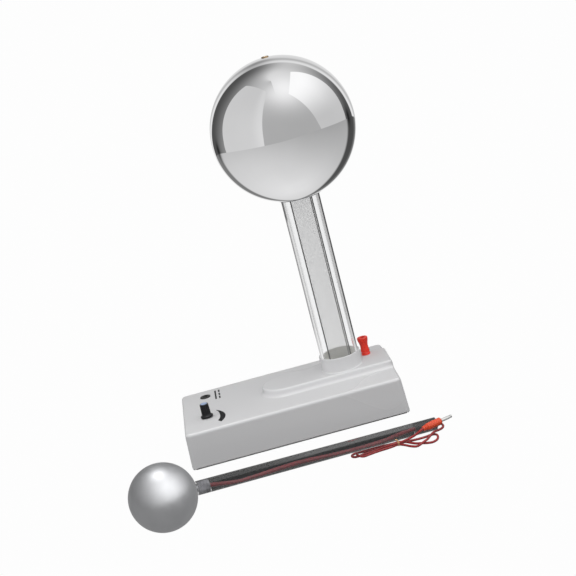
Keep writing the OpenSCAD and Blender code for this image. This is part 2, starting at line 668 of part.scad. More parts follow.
module lead_in() {
  color([0.8, 0.09, 0.06]) cord_tube(route_in, lead_r, 8);
}

// Rounded waist of the hank in the plane across it, grown by r round each strand
module waist_outline(r) {
  polygon([for (w = waist) each arc(w[0], w[1], r, w[2], w[3], 4)]);
}

module across(x0, x1) translate([x0, 0, 0]) rotate([90, 0, 90]) linear_extrude(x1 - x0) children();

module lead_hank() {
  color([0.75, 0.08, 0.06]) union() {
    difference() {
      union() {
        translate([0, 0, 0.02]) linear_extrude(2.9) polygon(concat(arc(fold_a[0], fold_a[1], fold_r, 95, 255, 8), arc(fold_b[0], fold_b[1], fold_r, 215, 285, 4), hank_front, hank_back));
        translate([0, 0, 2.9]) linear_extrude(2.45) polygon(concat(arc(fold_b[0], fold_b[1], fold_r, 250, 111, 7), upper_left));
        translate([0, 0, 2.9]) linear_extrude(2.45) polygon(upper_right);
        translate([0, 0, 2.9]) linear_extrude(2.7) polygon(upper_ridge);
        translate([0, -172.4, 0]) rotate([90, 0, 0]) linear_extrude(3) polygon([[103, 5], [103, 5.9], [109, 6.7], [113.5, 7.5], [118, 8.7], [118, 5.9], [115, 5]]);
      }
      translate([tie_x[0] - 0.5, -180, -1]) cube([tie_x[1] - tie_x[0] + 1, 15, 12]);
    }
    across(tie_x[0] - 0.51, tie_x[1] + 0.51) waist_outline(1.35);
  }
}

module hank_tie() {
  color([0.75, 0.5, 0.25]) across(tie_x[0], tie_x[1]) difference() {
    waist_outline(1.75);
    waist_outline(1.36);
  }
}

module plug_sleeve() {
  color([0.9, 0.2, 0.1]) at_plug() difference() {
    rotate_extrude() polygon(concat([[0, 0], [2.6, 0], [3.2, 1]], [[4.1, 6], [plug_r, 12], [plug_r, plug_len - 2]], [[3.7, plug_len], [0, plug_len]]));
    translate([0, 0, -1]) cylinder(r = lead_r, h = 9);
    translate([0, 0, 10]) cylinder(r = 1.6, h = 40);
  }
}

module plug_pin() {
  color([0.8, 0.8, 0.78]) at_plug(10) union() {
    cylinder(r = 1.6, h = plug_len - 10);
    translate([0, 0, plug_len - 10]) rotate_extrude() polygon(concat([[0, 0], [2, 0]], arc(1.2, pin_len - 0.8, 0.8, 0, 90, 4), [[0, pin_len]]));
  }
}

base_shell();
tube_socket();
bottom_cover();
rubber_feet();
cover_screws();
frame_screws();
motor_can();
motor_end_cap();
motor_magnets();
motor_bracket();
bearing_stand();
outboard_bush();
lower_comb();
comb_bracket();
drive_belt();
control_board();
driver_transistor();
board_capacitor();
speed_pot();
pot_nut();
dc_jack();
dc_jack_nut();
dc_jack_pin();
terminal_base();
terminal_stud();
terminal_nut();
solder_tag();
motor_leads();
supply_leads();
earth_lead();
column_tube();
head_block();
contact_ring();
upper_bushes();
upper_comb();
motor_shaft();
motor_armature();
lower_roller();
upper_axle();
upper_roller();
speed_knob();
knob_cap();
pot_shaft();
terminal_insert();
terminal_cap();
dome_shell();
dome_collar();
dome_socket();
socket_nut();
discharge_ball();
ball_stud();
handle_tube();
handle_grommet();
handle_lead();
lead_out();
lead_hank();
hank_tie();
lead_in();
plug_sleeve();
plug_pin();
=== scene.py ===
"""Looks of the tabletop electrostatic generator with its discharge wand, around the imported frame."""

import json
import math

import bpy
import numpy as np
from mathutils import Matrix, Vector

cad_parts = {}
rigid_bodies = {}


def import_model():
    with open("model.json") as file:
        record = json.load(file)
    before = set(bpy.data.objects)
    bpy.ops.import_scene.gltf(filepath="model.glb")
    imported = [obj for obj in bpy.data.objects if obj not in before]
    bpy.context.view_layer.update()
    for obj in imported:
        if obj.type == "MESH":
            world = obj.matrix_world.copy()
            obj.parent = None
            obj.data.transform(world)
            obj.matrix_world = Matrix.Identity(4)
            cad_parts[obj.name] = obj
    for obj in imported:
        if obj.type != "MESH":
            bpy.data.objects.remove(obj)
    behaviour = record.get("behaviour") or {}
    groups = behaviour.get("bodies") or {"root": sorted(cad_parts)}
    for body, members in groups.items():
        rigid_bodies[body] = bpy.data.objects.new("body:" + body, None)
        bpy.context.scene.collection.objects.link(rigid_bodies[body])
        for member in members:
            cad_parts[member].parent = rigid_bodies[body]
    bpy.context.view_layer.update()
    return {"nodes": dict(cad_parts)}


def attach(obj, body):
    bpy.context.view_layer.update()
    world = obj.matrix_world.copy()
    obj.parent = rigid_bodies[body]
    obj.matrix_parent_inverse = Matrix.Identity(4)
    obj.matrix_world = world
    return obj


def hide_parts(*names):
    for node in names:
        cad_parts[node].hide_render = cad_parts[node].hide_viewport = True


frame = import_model()
scene = bpy.context.scene
MM = 0.001

# ------------------------------------------------------------------ layout, millimetres
COL = (72.0, 0.0, 0.0)
KNOB = (-101.0, -31.0, 0.0)
JACK = (-100.0, 48.0, 0.0)
TERM = (105.0, 19.0, 0.0)
BASE_H, PAD_Z = 43.5, 52.5
DOME_Z, DOME_R, DOME_T, HOLE_R = 350.0, 85.0, 1.2, 26.0
TUBE_R, TUBE_RI, SEAT_Z, TUBE_TOP = 23.25, 20.25, 46.5, 300.0
LOW_Z, UP_Z, LOW_R, UP_R, BELT_T, BELT_W = 24.0, 316.0, 8.0, 7.0, 0.8, 26.2
BALL_C = np.array([-160.2, -231.2, 37.0])
HAND_E = np.array([148.0, -153.6, 7.3])
BALL_R = 36.97
HAND_L = float(np.linalg.norm(HAND_E - BALL_C))
HAND_U = (HAND_E - BALL_C) / HAND_L
PLUG_A = np.array([130.9, -172.6, 12.3])
PLUG_B = np.array([152.8, -163.0, 12.3])
PLUG_L = float(np.linalg.norm(PLUG_B - PLUG_A))
PLUG_U = (PLUG_B - PLUG_A) / PLUG_L


# ------------------------------------------------------------------ camera
def make_camera():
    yaw, pitch, roll = math.radians(2.198), math.radians(14.180), math.radians(14.431)
    f = Vector((math.sin(yaw) * math.cos(pitch), math.cos(yaw) * math.cos(pitch), -math.sin(pitch)))
    r = Vector((math.cos(yaw), -math.sin(yaw), 0))
    u = r.cross(f)
    right = r * math.cos(roll) - u * math.sin(roll)
    up = r * math.sin(roll) + u * math.cos(roll)
    data = bpy.data.cameras.new("camera")
    data.sensor_fit, data.sensor_width, data.lens = "HORIZONTAL", 36.0, 90.0
    data.clip_start, data.clip_end = 0.05, 80.0
    cam = bpy.data.objects.new("camera", data)
    scene.collection.objects.link(cam)
    m = Matrix.Identity(4)
    for i, v in enumerate((right, up, -f, Vector((-0.032323, -1.665886, 0.584927)))):
        for k in range(3):
            m[k][i] = v[k]
    cam.matrix_world = m
    scene.camera = cam


make_camera()
scene.view_settings.view_transform = "Standard"
scene.view_settings.look = "None"
scene.cycles.max_bounces = 24
scene.cycles.transmission_bounces = 24
scene.cycles.glossy_bounces = 8
scene.cycles.diffuse_bounces = 6
scene.cycles.caustics_refractive = True
scene.cycles.caustics_reflective = True


# ------------------------------------------------------------------ node arithmetic
class X:
    """A number in a node tree, written with ordinary arithmetic."""

    def __init__(self, tree, v):
        self.t, self.v = tree, v

    def op(self, name, *others, clamp=False):
        n = self.t.nodes.new("ShaderNodeMath")
        n.operation, n.use_clamp = name, clamp
        for i, a in enumerate((self,) + others):
            a = a.v if isinstance(a, X) else a
            if isinstance(a, bpy.types.NodeSocket):
                self.t.links.new(a, n.inputs[i])
            else:
                n.inputs[i].default_value = a
        return X(self.t, n.outputs[0])

    def __add__(self, o):
        return self.op("ADD", o)

    __radd__ = __add__

    def __sub__(self, o):
        return self.op("SUBTRACT", o)

    def __rsub__(self, o):
        return X(self.t, o).op("SUBTRACT", self)

    def __mul__(self, o):
        return self.op("MULTIPLY", o)

    __rmul__ = __mul__

    def __truediv__(self, o):
        return self.op("DIVIDE", o)

    def __pow__(self, o):
        return self.op("POWER", o)

    def abs(self):
        return self.op("ABSOLUTE")

    def max(self, o):
        return self.op("MAXIMUM", o)

    def min(self, o):
        return self.op("MINIMUM", o)

    def exp(self):
        return self.op("EXPONENT")

    def smooth(self, a, b):
        """0 below a and 1 above b, with soft ends."""
        n = self.t.nodes.new("ShaderNodeMapRange")
        n.interpolation_type = "SMOOTHSTEP"
        self.t.links.new(self.v, n.inputs[0])
        for i, v in ((1, a), (2, b), (3, 0.0), (4, 1.0)):
            v = v.v if isinstance(v, X) else v
            if isinstance(v, bpy.types.NodeSocket):
                self.t.links.new(v, n.inputs[i])
            else:
                n.inputs[i].default_value = v
        return X(self.t, n.outputs[0])

    def bell(self, centre, width):
        d = (self - centre) / width
        return (d * d * -1.0).exp()


def mix(a, b, k):
    return a + (b - a) * k


def direction(az, el):
    az, el = math.radians(az), math.radians(el)
    return (math.sin(az) * math.cos(el), math.cos(az) * math.cos(el), math.sin(el))


def lean(x, y, z, az, el):
    d = direction(az, el)
    return x * d[0] + y * d[1] + z * d[2]


def panel(x, y, z, corners, soft=0.006):
    """1 inside the lit panel whose corners are given as (azimuth, elevation), counter-clockwise seen from inside."""
    pts = [np.array(direction(*c)) for c in corners]
    mid = sum(pts)
    k = None
    for a, b in zip(pts, pts[1:] + pts[:1]):
        n = np.cross(a, b)
        n /= np.linalg.norm(n)
        if n @ mid < 0:
            n = -n
        s = (x * float(n[0]) + y * float(n[1]) + z * float(n[2])).smooth(-soft, soft)
        k = s if k is None else k * s
    return k


def studio(x, y, z):
    """The surroundings that a mirror shows: a pale table, two soft boxes, an overhead glow and a white sweep behind."""
    az = X(x.t, x.v).op("ARCTAN2", y) * 57.2958
    el = z.op("ARCSINE") * 57.2958
    # above the table's edge
    grey = 0.57 + 0.38 * (lean(x, y, z, 150, 60).max(0.0) ** 11.0) + 0.40 * (lean(x, y, z, 80, 80).max(0.0) ** 3.0)
    off = lean(x, y, z, 9, 10).op("ARCCOSINE") * 57.2958
    around = (el - 10.0).op("ARCTAN2", az - 9.0) * 57.2958
    level = 0.10 + 0.65 * around.bell(62.0, 38.0)
    end = 112.0 - 46.0 * ((around - 65.0) / 57.2958).op("COSINE").max(0.0)
    dark = mix(level, grey, off.smooth(40.0, end))
    sweep = 0.86 - 0.26 * off.bell(22.5, 4.5) + 0.16 * off.smooth(27.0, 31.0)
    sweep = sweep * (1.0 - 0.42 * around.bell(122.0, 26.0) * off.smooth(10.0, 20.0))
    sky = mix(sweep, dark, off.smooth(34.5, 38.0))
    left = panel(x, y, z, [(-68, -11), (-143, -11), (-154, 69), (-56, 59)])
    right = panel(x, y, z, [(67.5, -11), (124, -11), (147, 56), (55, 62)])
    sky = mix(sky, 0.86 - 0.05 * el.smooth(0.0, 60.0) + 0.10 * az.bell(-143.0, 12.0), left)
    sky = mix(sky, 0.77 + 0.60 * el.smooth(4.0, 56.0), right)
    # the table
    table = (0.64 + 0.0056 * (el * -1.0 - 10.5)).min(1.03) * (1.0 - 0.18 * x)
    near = lean(x, y, z, 2, -14).op("ARCCOSINE") * 57.2958
    turn = (el + 14.0).op("ARCTAN2", az - 2.0).op("COSINE")
    edge = 26.0 + 28.5 * turn.abs() + 7.5 * turn
    ring = near.smooth(19.5, 24.0) * (1.0 - (near - edge).smooth(-5.0, 2.5))
    shade = mix(0.17 - 0.08 * turn, 0.27, 1.0 - near.smooth(24.0, 40.0))
    table = mix(mix(0.9, table, near.smooth(15.0, 30.0)), shade, ring)
    line = -11.2 + 2.4 * x.smooth(-0.3, 0.9)
    out = mix(table, sky, el.smooth(line, line + 0.5))
    for a, e, r in ((58, -7, 6.0), (-44, -9, 6.0)):
        out = out * (1.0 - 0.85 * (lean(x, y, z, a, e).op("ARCCOSINE") * 57.2958).bell(0.0, r))
    return out


def light_path(t):
    n = t.nodes.new("ShaderNodeLightPath")
    return {k: X(t, n.outputs[k]) for k in ("Is Camera Ray", "Diffuse Depth", "Is Singular Ray", "Is Transmission Ray")}


def by_ray(t, seen, sharp, soft, fill, clear):
    """Radiance for what the camera sees, sharp reflections, soft reflections and diffuse light."""
    p = light_path(t)
    out = mix(soft, sharp, p["Is Singular Ray"])
    out = mix(out, clear, p["Is Transmission Ray"])
    out = mix(out, fill, p["Diffuse Depth"].min(1.0))
    return mix(out, seen, p["Is Camera Ray"])


WHITE = 0.984


def through(x, y, z):
    """What stands behind a clear piece: pale straight behind it, dark to the sides and overhead."""
    side = (x / (x * x + y * y).op("SQRT")).abs()
    k = side.smooth(0.36, 0.62) + z.smooth(0.25, 0.55)
    return mix(0.95, 0.16, k.min(1.0))




def make_world():
    w = bpy.data.worlds.new("studio")
    scene.world = w
    w.use_nodes = True
    t = w.node_tree
    t.nodes.clear()
    co = t.nodes.new("ShaderNodeTexCoord")
    sep = t.nodes.new("ShaderNodeSeparateXYZ")
    t.links.new(co.outputs["Generated"], sep.inputs[0])
    x, y, z = (X(t, s) for s in sep.outputs)
    soft = 0.19 + 1.60 * ((lean(x, y, z, 140, 45) - 1.0) / 0.50).exp() + 2.6 * ((lean(x, y, z, 5, 76) - 1.0) / 0.035).exp()
    fill = 0.55 + 0.84 * z - 0.11 * y
    out = t.nodes.new("ShaderNodeOutputWorld")
    bg = t.nodes.new("ShaderNodeBackground")
    bg.inputs["Color"].default_value = (1, 1, 1, 1)
    t.links.new(by_ray(t, WHITE, studio(x, y, z), soft, fill, through(x, y, z)).v, bg.inputs["Strength"])
    t.links.new(bg.outputs[0], out.inputs[0])
    w.cycles.sampling_method = "NONE"


def make_floor():
    me = bpy.data.meshes.new("floor")
    s, n = 24.0, 24
    verts = [(-s + 2 * s * i / n, -s + 2 * s * j / n, 0.0) for j in range(n + 1) for i in range(n + 1)]
    faces = [(j * (n + 1) + i, j * (n + 1) + i + 1, (j + 1) * (n + 1) + i + 1, (j + 1) * (n + 1) + i) for j in range(n) for i in range(n)]
    me.from_pydata(verts, [], faces)
    floor = bpy.data.objects.new("floor", me)
    scene.collection.objects.link(floor)
    floor.location.z = -0.0002
    m = bpy.data.materials.new("floor")
    m.use_nodes = True
    t = m.node_tree
    t.nodes.clear()
    geo = t.nodes.new("ShaderNodeNewGeometry")
    sub = t.nodes.new("ShaderNodeVectorMath")
    sub.operation = "SUBTRACT"
    sub.inputs[1].default_value = (0.072, 0.0, 0.35)
    t.links.new(geo.outputs["Position"], sub.inputs[0])
    nor = t.nodes.new("ShaderNodeVectorMath")
    nor.operation = "NORMALIZE"
    t.links.new(sub.outputs[0], nor.inputs[0])
    sep = t.nodes.new("ShaderNodeSeparateXYZ")
    t.links.new(nor.outputs[0], sep.inputs[0])
    x, y, z = (X(t, s_) for s_ in sep.outputs)
    pos = t.nodes.new("ShaderNodeSeparateXYZ")
    t.links.new(geo.outputs["Position"], pos.inputs[0])
    soft = 0.34
    behind = through(x, y, z.min(0.0)) * mix(0.10, 1.0, X(t, pos.outputs[1]).smooth(-0.10, 0.02))
    em = t.nodes.new("ShaderNodeEmission")
    out = t.nodes.new("ShaderNodeOutputMaterial")
    t.links.new(by_ray(t, WHITE, studio(x, y, z), soft, 0.03, behind).v, em.inputs["Strength"])
    t.links.new(em.outputs[0], out.inputs[0])
    m.cycles.emission_sampling = "NONE"
    me.materials.append(m)


def make_card():
    """A dark card behind the object, off the mirror's and the lens's view, that lets the back of the base fall off."""
    me = bpy.data.meshes.new("card")
    w, h, n = 0.75, 0.5, 8
    verts = [(-w + 2 * w * i / n, 0.0, h * j / n) for j in range(n + 1) for i in range(n + 1)]
    faces = [(j * (n + 1) + i, j * (n + 1) + i + 1, (j + 1) * (n + 1) + i + 1, (j + 1) * (n + 1) + i) for j in range(n) for i in range(n)]
    me.from_pydata(verts, [], faces)
    card = bpy.data.objects.new("card", me)
    scene.collection.objects.link(card)
    card.location = (0.0, 0.235, 0.01)
    m = bpy.data.materials.new("card")
    m.use_nodes = True
    b = next(n_ for n_ in m.node_tree.nodes if n_.type == "BSDF_PRINCIPLED")
    b.inputs["Base Color"].default_value = (0.22, 0.22, 0.22, 1)
    b.inputs["Roughness"].default_value = 0.9
    me.materials.append(m)
    card.visible_camera = card.visible_glossy = card.visible_transmission = card.visible_shadow = False


make_world()
make_floor()
make_card()


# ------------------------------------------------------------------ materials
class Mat:
    """A procedural material around one Principled shader, in object coordinates (metres)."""

    def __init__(self, name, base, rough=0.4, metallic=0.0, **sockets):
        self.m = bpy.data.materials.new(name)
        self.m.use_nodes = True
        self.t = self.m.node_tree
        self.p = next(n for n in self.t.nodes if n.type == "BSDF_PRINCIPLED")
        self.p.inputs["Metallic"].default_value = metallic
        self.p.inputs["Base Color"].default_value = (*base, 1)
        self.p.inputs["Roughness"].default_value = rough
        for k, v in sockets.items():
            self.p.inputs[k.replace("_", " ")].default_value = v
        self.base, self.rough, self.bumped = base, rough, None
        self.co = self.t.nodes.new("ShaderNodeTexCoord").outputs["Object"]

    def _link(self, a, b):
        self.t.links.new(a, b)

    def noise(self, size, detail=3.0, rough=0.5, stretch=None, distortion=0.0):
        """Noise with features about size metres across."""
        src = self.co
        if stretch:
            mp = self.t.nodes.new("ShaderNodeMapping")
            mp.inputs["Scale"].default_value = stretch
            self._link(src, mp.inputs["Vector"])
            src = mp.outputs[0]
        n = self.t.nodes.new("ShaderNodeTexNoise")
        n.inputs["Scale"].default_value = 1.0 / size
        n.inputs["Detail"].default_value = detail
        n.inputs["Roughness"].default_value = rough
        n.inputs["Distortion"].default_value = distortion
        self._link(src, n.inputs["Vector"])
        return n.outputs[0]

    def along(self, u, v, w, size, stretch, detail=3.0):
        """Noise stretched along a direction: u, v, w are the axes that the three stretch factors scale."""
        parts = []
        for ax, k in zip((u, v, w), stretch):
            d = self.t.nodes.new("ShaderNodeVectorMath")
            d.operation = "DOT_PRODUCT"
            self._link(self.co, d.inputs[0])
            d.inputs[1].default_value = [c * k for c in ax]
            parts.append(d.outputs["Value"])
        c = self.t.nodes.new("ShaderNodeCombineXYZ")
        for i, s in enumerate(parts):
            self._link(s, c.inputs[i])
        n = self.t.nodes.new("ShaderNodeTexNoise")
        n.inputs["Scale"].default_value = 1.0 / size
        n.inputs["Detail"].default_value = detail
        self._link(c.outputs[0], n.inputs["Vector"])
        return n.outputs[0]

    def tint(self, fac, low, high, lo=0.35, hi=0.65):
        r = self.t.nodes.new("ShaderNodeValToRGB")
        r.color_ramp.elements[0].position, r.color_ramp.elements[0].color = lo, (*low, 1)
        r.color_ramp.elements[1].position, r.color_ramp.elements[1].color = hi, (*high, 1)
        self._link(fac, r.inputs[0])
        self._link(r.outputs[0], self.p.inputs["Base Color"])
        return self

    def vary(self, fac, low, high, socket="Roughness", lo=0.3, hi=0.7):
        n = self.t.nodes.new("ShaderNodeMapRange")
        for i, v in ((1, lo), (2, hi), (3, low), (4, high)):
            n.inputs[i].default_value = v
        self._link(fac, n.inputs[0])
        self._link(n.outputs[0], self.p.inputs[socket])
        return self

    def painted_edge_shade(self, colour, lo, hi):
        """Painted shade: darker colour where the clear wall is seen edge on, standing in for the dark surroundings that
        the wall refracts and reflects there.
        """
        lw = self.t.nodes.new("ShaderNodeLayerWeight")
        lw.inputs["Blend"].default_value = 0.5
        n = self.t.nodes.new("ShaderNodeMapRange")
        n.interpolation_type = "SMOOTHSTEP"
        n.inputs[1].default_value, n.inputs[2].default_value = lo, hi
        self._link(lw.outputs["Facing"], n.inputs[0])
        mx = self.t.nodes.new("ShaderNodeMix")
        mx.data_type = "RGBA"
        self._link(n.outputs[0], mx.inputs[0])
        self._link(self.p.inputs["Base Color"].links[0].from_socket, mx.inputs[6])
        mx.inputs[7].default_value = (*colour, 1)
        self._link(mx.outputs[2], self.p.inputs["Base Color"])
        return self

    def bump(self, height, dist, strength=1.0):
        b = self.t.nodes.new("ShaderNodeBump")
        b.inputs["Strength"].default_value = strength
        b.inputs["Distance"].default_value = dist
        self._link(height, b.inputs["Height"])
        if self.bumped is not None:
            self._link(self.bumped, b.inputs["Normal"])
        self.bumped = b.outputs[0]
        self._link(self.bumped, self.p.inputs["Normal"])
        return self


def shade(c, k):
    return tuple(min(1.0, v * k) for v in c)


def plastic(name, base, rough=0.35, grain=0.0006, depth=0.00001, wear=0.03, spec=0.5, **sk):
    m = Mat(name, base, rough, Specular_IOR_Level=spec, **sk)
    m.tint(m.noise(0.035, 4.0), shade(base, 1 - wear), shade(base, 1 + wear * 0.6))
    m.vary(m.noise(0.012, 4.0), rough * 0.88, rough * 1.15)
    m.bump(m.noise(grain, 2.0), depth)
    return m.m


def metal(name, base, rough=0.25, grain=0.0008, depth=0.000006, stretch=None, wear=0.05, **sk):
    m = Mat(name, base, rough, 1.0, **sk)
    m.tint(m.noise(0.010, 4.0), shade(base, 1 - wear), shade(base, 1 + wear))
    m.vary(m.noise(0.004, 3.0, stretch=stretch), rough * 0.75, rough * 1.3)
    m.bump(m.noise(grain, 2.0, stretch=stretch), depth)
    return m.m


MAT = {}


def make_materials():
    # white moulded plastic: slight sheen, faint tone and roughness variation
    m = Mat("housing_plastic", (0.79, 0.79, 0.80), 0.27, Specular_IOR_Level=0.65)
    m.tint(m.noise(0.120, 0.0), (0.788, 0.788, 0.798), (0.793, 0.792, 0.801))
    m.vary(m.noise(0.080, 0.0), 0.266, 0.274)
    MAT["housing"] = m.m
    # mirror-polished spun steel
    m = Mat("dome_steel", (0.70, 0.70, 0.705), 0.0, 1.0)
    m.tint(m.noise(0.050, 5.0), (0.683, 0.683, 0.688), (0.712, 0.712, 0.718))
    m.bump(m.noise(0.070, 1.0), 0.00006)
    MAT["dome"] = m.m
    m = Mat("dome_inside", (0.5, 0.5, 0.5), 0.35, 1.0)
    m.tint(m.noise(0.02, 4.0), (0.45, 0.45, 0.45), (0.56, 0.56, 0.56))
    m.vary(m.noise(0.004, 3.0), 0.3, 0.45)
    MAT["dome_inside"] = m.m
    # satin ball: bead-blasted, then lacquered
    m = Mat("ball_steel", (0.60, 0.605, 0.62), 0.36, 1.0)
    m.tint(m.noise(0.020, 5.0), (0.575, 0.58, 0.595), (0.62, 0.625, 0.64))
    m.vary(m.noise(0.006, 4.0), 0.33, 0.40)
    m.bump(m.noise(0.0007, 2.0), 0.000012)
    MAT["ball"] = m.m
    # clear acrylic: extrusion lines run along the tube
    m = Mat("clear_tube", (0.97, 0.972, 0.975), 0.0, Transmission_Weight=1.0, IOR=1.49)
    m.tint(m.noise(0.020, 2.0, stretch=(1, 1, 0.06)), (0.965, 0.967, 0.97), (0.98, 0.982, 0.985))
    # painted shade: the tube's wall turns dark grey where it is seen edge on
    m.painted_edge_shade((0.30, 0.30, 0.305), 0.50, 0.72)
    MAT["clear"] = m.m
    # smoky clear handle
    v = np.cross((0, 0, 1.0), HAND_U)
    v /= np.linalg.norm(v)
    w = np.cross(HAND_U, v)
    m = Mat("handle_acrylic", (0.72, 0.72, 0.72), 0.0, Transmission_Weight=1.0, IOR=1.49, Specular_IOR_Level=0.2)
    m.tint(m.along(HAND_U, v, w, 0.006, (0.05, 1, 1), 2.0), (0.70, 0.70, 0.705), (0.74, 0.74, 0.745))
    # painted shade: the handle's wall turns near black where it is seen edge on
    m.painted_edge_shade((0.012, 0.010, 0.010), 0.34, 0.60)
    MAT["handle"] = m.m
    # pale belt: woven back under a smooth rubber skin
    m = Mat("belt_rubber", (0.93, 0.925, 0.91), 0.55, Specular_IOR_Level=0.3, Alpha=0.14)
    m.tint(m.noise(0.008, 4.0, stretch=(1, 1, 0.3)), (0.915, 0.91, 0.895), (0.94, 0.935, 0.92))
    m.vary(m.noise(0.003, 3.0), 0.48, 0.62)
    m.bump(m.noise(0.0005, 1.0, stretch=(1, 1, 0.35)), 0.00002)
    MAT["belt"] = m.m
    # painted shade: a dark colour for the belt's edge bands, standing in for the shade along its edges
    m = Mat("belt_edge_shade", (0.16, 0.16, 0.155), 0.6, Specular_IOR_Level=0.3)
    m.tint(m.noise(0.004, 4.0, stretch=(1, 1, 0.3)), (0.13, 0.13, 0.125), (0.19, 0.19, 0.185))
    m.vary(m.noise(0.002, 3.0), 0.52, 0.66)
    MAT["belt_edge_shade"] = m.m
    # PVC lead
    m = Mat("lead_red", (0.36, 0.010, 0.012), 0.30, Specular_IOR_Level=0.6)
    m.tint(m.noise(0.010, 4.0), (0.31, 0.008, 0.010), (0.40, 0.013, 0.014))
    m.vary(m.noise(0.002, 3.0), 0.26, 0.36)
    m.bump(m.noise(0.0006, 2.0), 0.00001)
    MAT["lead"] = m.m
    # painted shade: a darker copy of the lead's red, for its length inside the handle
    m = Mat("lead_red_shaded_copy", (0.22, 0.012, 0.020), 0.30, Specular_IOR_Level=0.5)
    m.tint(m.noise(0.010, 4.0), (0.19, 0.010, 0.017), (0.25, 0.015, 0.024))
    m.vary(m.noise(0.002, 3.0), 0.3, 0.4)
    MAT["lead_in_tube"] = m.m
    m = Mat("plug_red", (0.80, 0.085, 0.025), 0.36, Specular_IOR_Level=0.5, Subsurface_Weight=0.08, Subsurface_Radius=(0.004, 0.001, 0.0005), Subsurface_Scale=1.0)
    m.tint(m.noise(0.006, 4.0), (0.76, 0.075, 0.02), (0.84, 0.095, 0.03))
    m.vary(m.noise(0.002, 3.0), 0.32, 0.42)
    m.bump(m.noise(0.0006, 2.0), 0.000008)
    MAT["plug"] = m.m
    m = Mat("terminal_red", (0.93, 0.040, 0.018), 0.28, Specular_IOR_Level=0.5, Subsurface_Weight=0.10, Subsurface_Radius=(0.004, 0.001, 0.0005), Subsurface_Scale=1.0)
    m.tint(m.noise(0.005, 4.0), (0.89, 0.036, 0.015), (0.97, 0.046, 0.022))
    m.vary(m.noise(0.002, 3.0), 0.24, 0.33)
    MAT["terminal"] = m.m
    # painted shade: near black for the sheet in the handle's bore
    m = Mat("liner_black", (0.010, 0.010, 0.011), 0.30, Specular_IOR_Level=0.10)
    m.tint(m.noise(0.006, 3.0), (0.008, 0.008, 0.009), (0.014, 0.013, 0.014))
    m.vary(m.noise(0.003, 3.0), 0.26, 0.36)
    MAT["liner"] = m.m
    m = Mat("bore_clear", (0.9, 0.9, 0.9), 0.3, Alpha=0.0, Specular_IOR_Level=0.0)
    m.vary(m.noise(0.10), 0.28, 0.32)
    MAT["bore"] = m.m
    # painted shade and tint: khaki for the socket's inner wall, standing in for its shaded look through the thick
    # acrylic
    m = Mat("socket_inside_shade", (0.76, 0.75, 0.66), 0.45, Specular_IOR_Level=0.4)
    m.tint(m.noise(0.004, 4.0), (0.80, 0.79, 0.69), (0.86, 0.85, 0.75))
    m.vary(m.noise(0.002, 3.0), 0.38, 0.52)
    MAT["socket_inside_shade"] = m.m
    MAT["copper"] = metal("tie_copper", (0.78, 0.47, 0.24), 0.34, 0.0005, 0.00001, wear=0.12)
    MAT["brass"] = metal("brass", (0.72, 0.55, 0.30), 0.28, wear=0.10)
    MAT["socket_brass"] = metal("socket_brass", (0.50, 0.36, 0.22), 0.22, wear=0.15)
    MAT["pin"] = metal("plug_nickel", (0.52, 0.52, 0.51), 0.22, wear=0.06)
    MAT["stud"] = metal("stud_steel", (0.20, 0.20, 0.215), 0.36, 0.0022, 0.0004, wear=0.35)
    MAT["knob"] = plastic("knob_black", (0.012, 0.012, 0.015), 0.32, 0.0005, 0.000012, 0.15, 0.28)
    m = Mat("knob_blue", (0.36, 0.47, 0.68), 0.38, Specular_IOR_Level=0.5)
    m.tint(m.noise(0.003, 4.0), (0.33, 0.44, 0.65), (0.40, 0.51, 0.72))
    m.vary(m.noise(0.002, 3.0), 0.33, 0.45)
    MAT["knob_blue"] = m.m
    MAT["jack"] = plastic("jack_black", (0.012, 0.012, 0.012), 0.42, 0.0005, 0.00001, 0.15)
    MAT["grommet"] = plastic("grommet_rubber", (0.008, 0.008, 0.008), 0.45, 0.0006, 0.00001, 0.15, 0.35)
    m = Mat("print_ink", (0.010, 0.010, 0.012), 0.5, Specular_IOR_Level=0.15)
    m.tint(m.noise(0.002, 5.0), (0.008, 0.008, 0.010), (0.014, 0.014, 0.016))
    m.vary(m.noise(0.001, 3.0), 0.42, 0.6)
    MAT["ink"] = m.m
    MAT["cover"] = plastic("cover_plastic", (0.05, 0.05, 0.055), 0.5, 0.0007, 0.00002, 0.10)
    MAT["foot"] = plastic("foot_rubber", (0.02, 0.02, 0.02), 0.7, 0.0008, 0.00003, 0.15, 0.3)
    MAT["screw"] = metal("screw_steel", (0.55, 0.56, 0.58), 0.32)
    MAT["steel"] = metal("motor_steel", (0.60, 0.61, 0.63), 0.30, stretch=(0.2, 1, 1))
    MAT["bracket"] = metal("bracket_steel", (0.62, 0.63, 0.64), 0.36)
    MAT["shaft"] = metal("shaft_steel", (0.66, 0.67, 0.69), 0.20, stretch=(6, 1, 1))
    MAT["magnet"] = plastic("magnet", (0.07, 0.07, 0.075), 0.55, 0.0006, 0.00003, 0.1)
    MAT["white"] = plastic("white_plastic", (0.78, 0.78, 0.75), 0.40)
    MAT["stand"] = plastic("stand_plastic", (0.62, 0.62, 0.60), 0.45)
    MAT["nylon"] = plastic("roller_nylon", (0.80, 0.80, 0.77), 0.38)
    MAT["acrylic"] = plastic("roller_acrylic", (0.66, 0.63, 0.56), 0.22)
    MAT["board"] = plastic("board_resin", (0.03, 0.16, 0.07), 0.42, 0.0008, 0.00001, 0.15)
    MAT["component"] = plastic("component_black", (0.02, 0.02, 0.022), 0.45, wear=0.15)
    MAT["capacitor"] = plastic("capacitor_sleeve", (0.02, 0.04, 0.20), 0.30, wear=0.1)
    MAT["tinned"] = metal("tinned", (0.70, 0.68, 0.62), 0.32)
    MAT["armature"] = metal("armature", (0.55, 0.30, 0.16), 0.40, 0.0006, 0.00004, wear=0.2)
    MAT["green"] = plastic("wire_green", (0.03, 0.22, 0.04), 0.38, wear=0.1)
    MAT["wire"] = plastic("wire_pair", (0.30, 0.02, 0.02), 0.38, wear=0.1)
    MAT["collar"] = metal("collar_aluminium", (0.60, 0.61, 0.63), 0.30)


make_materials()


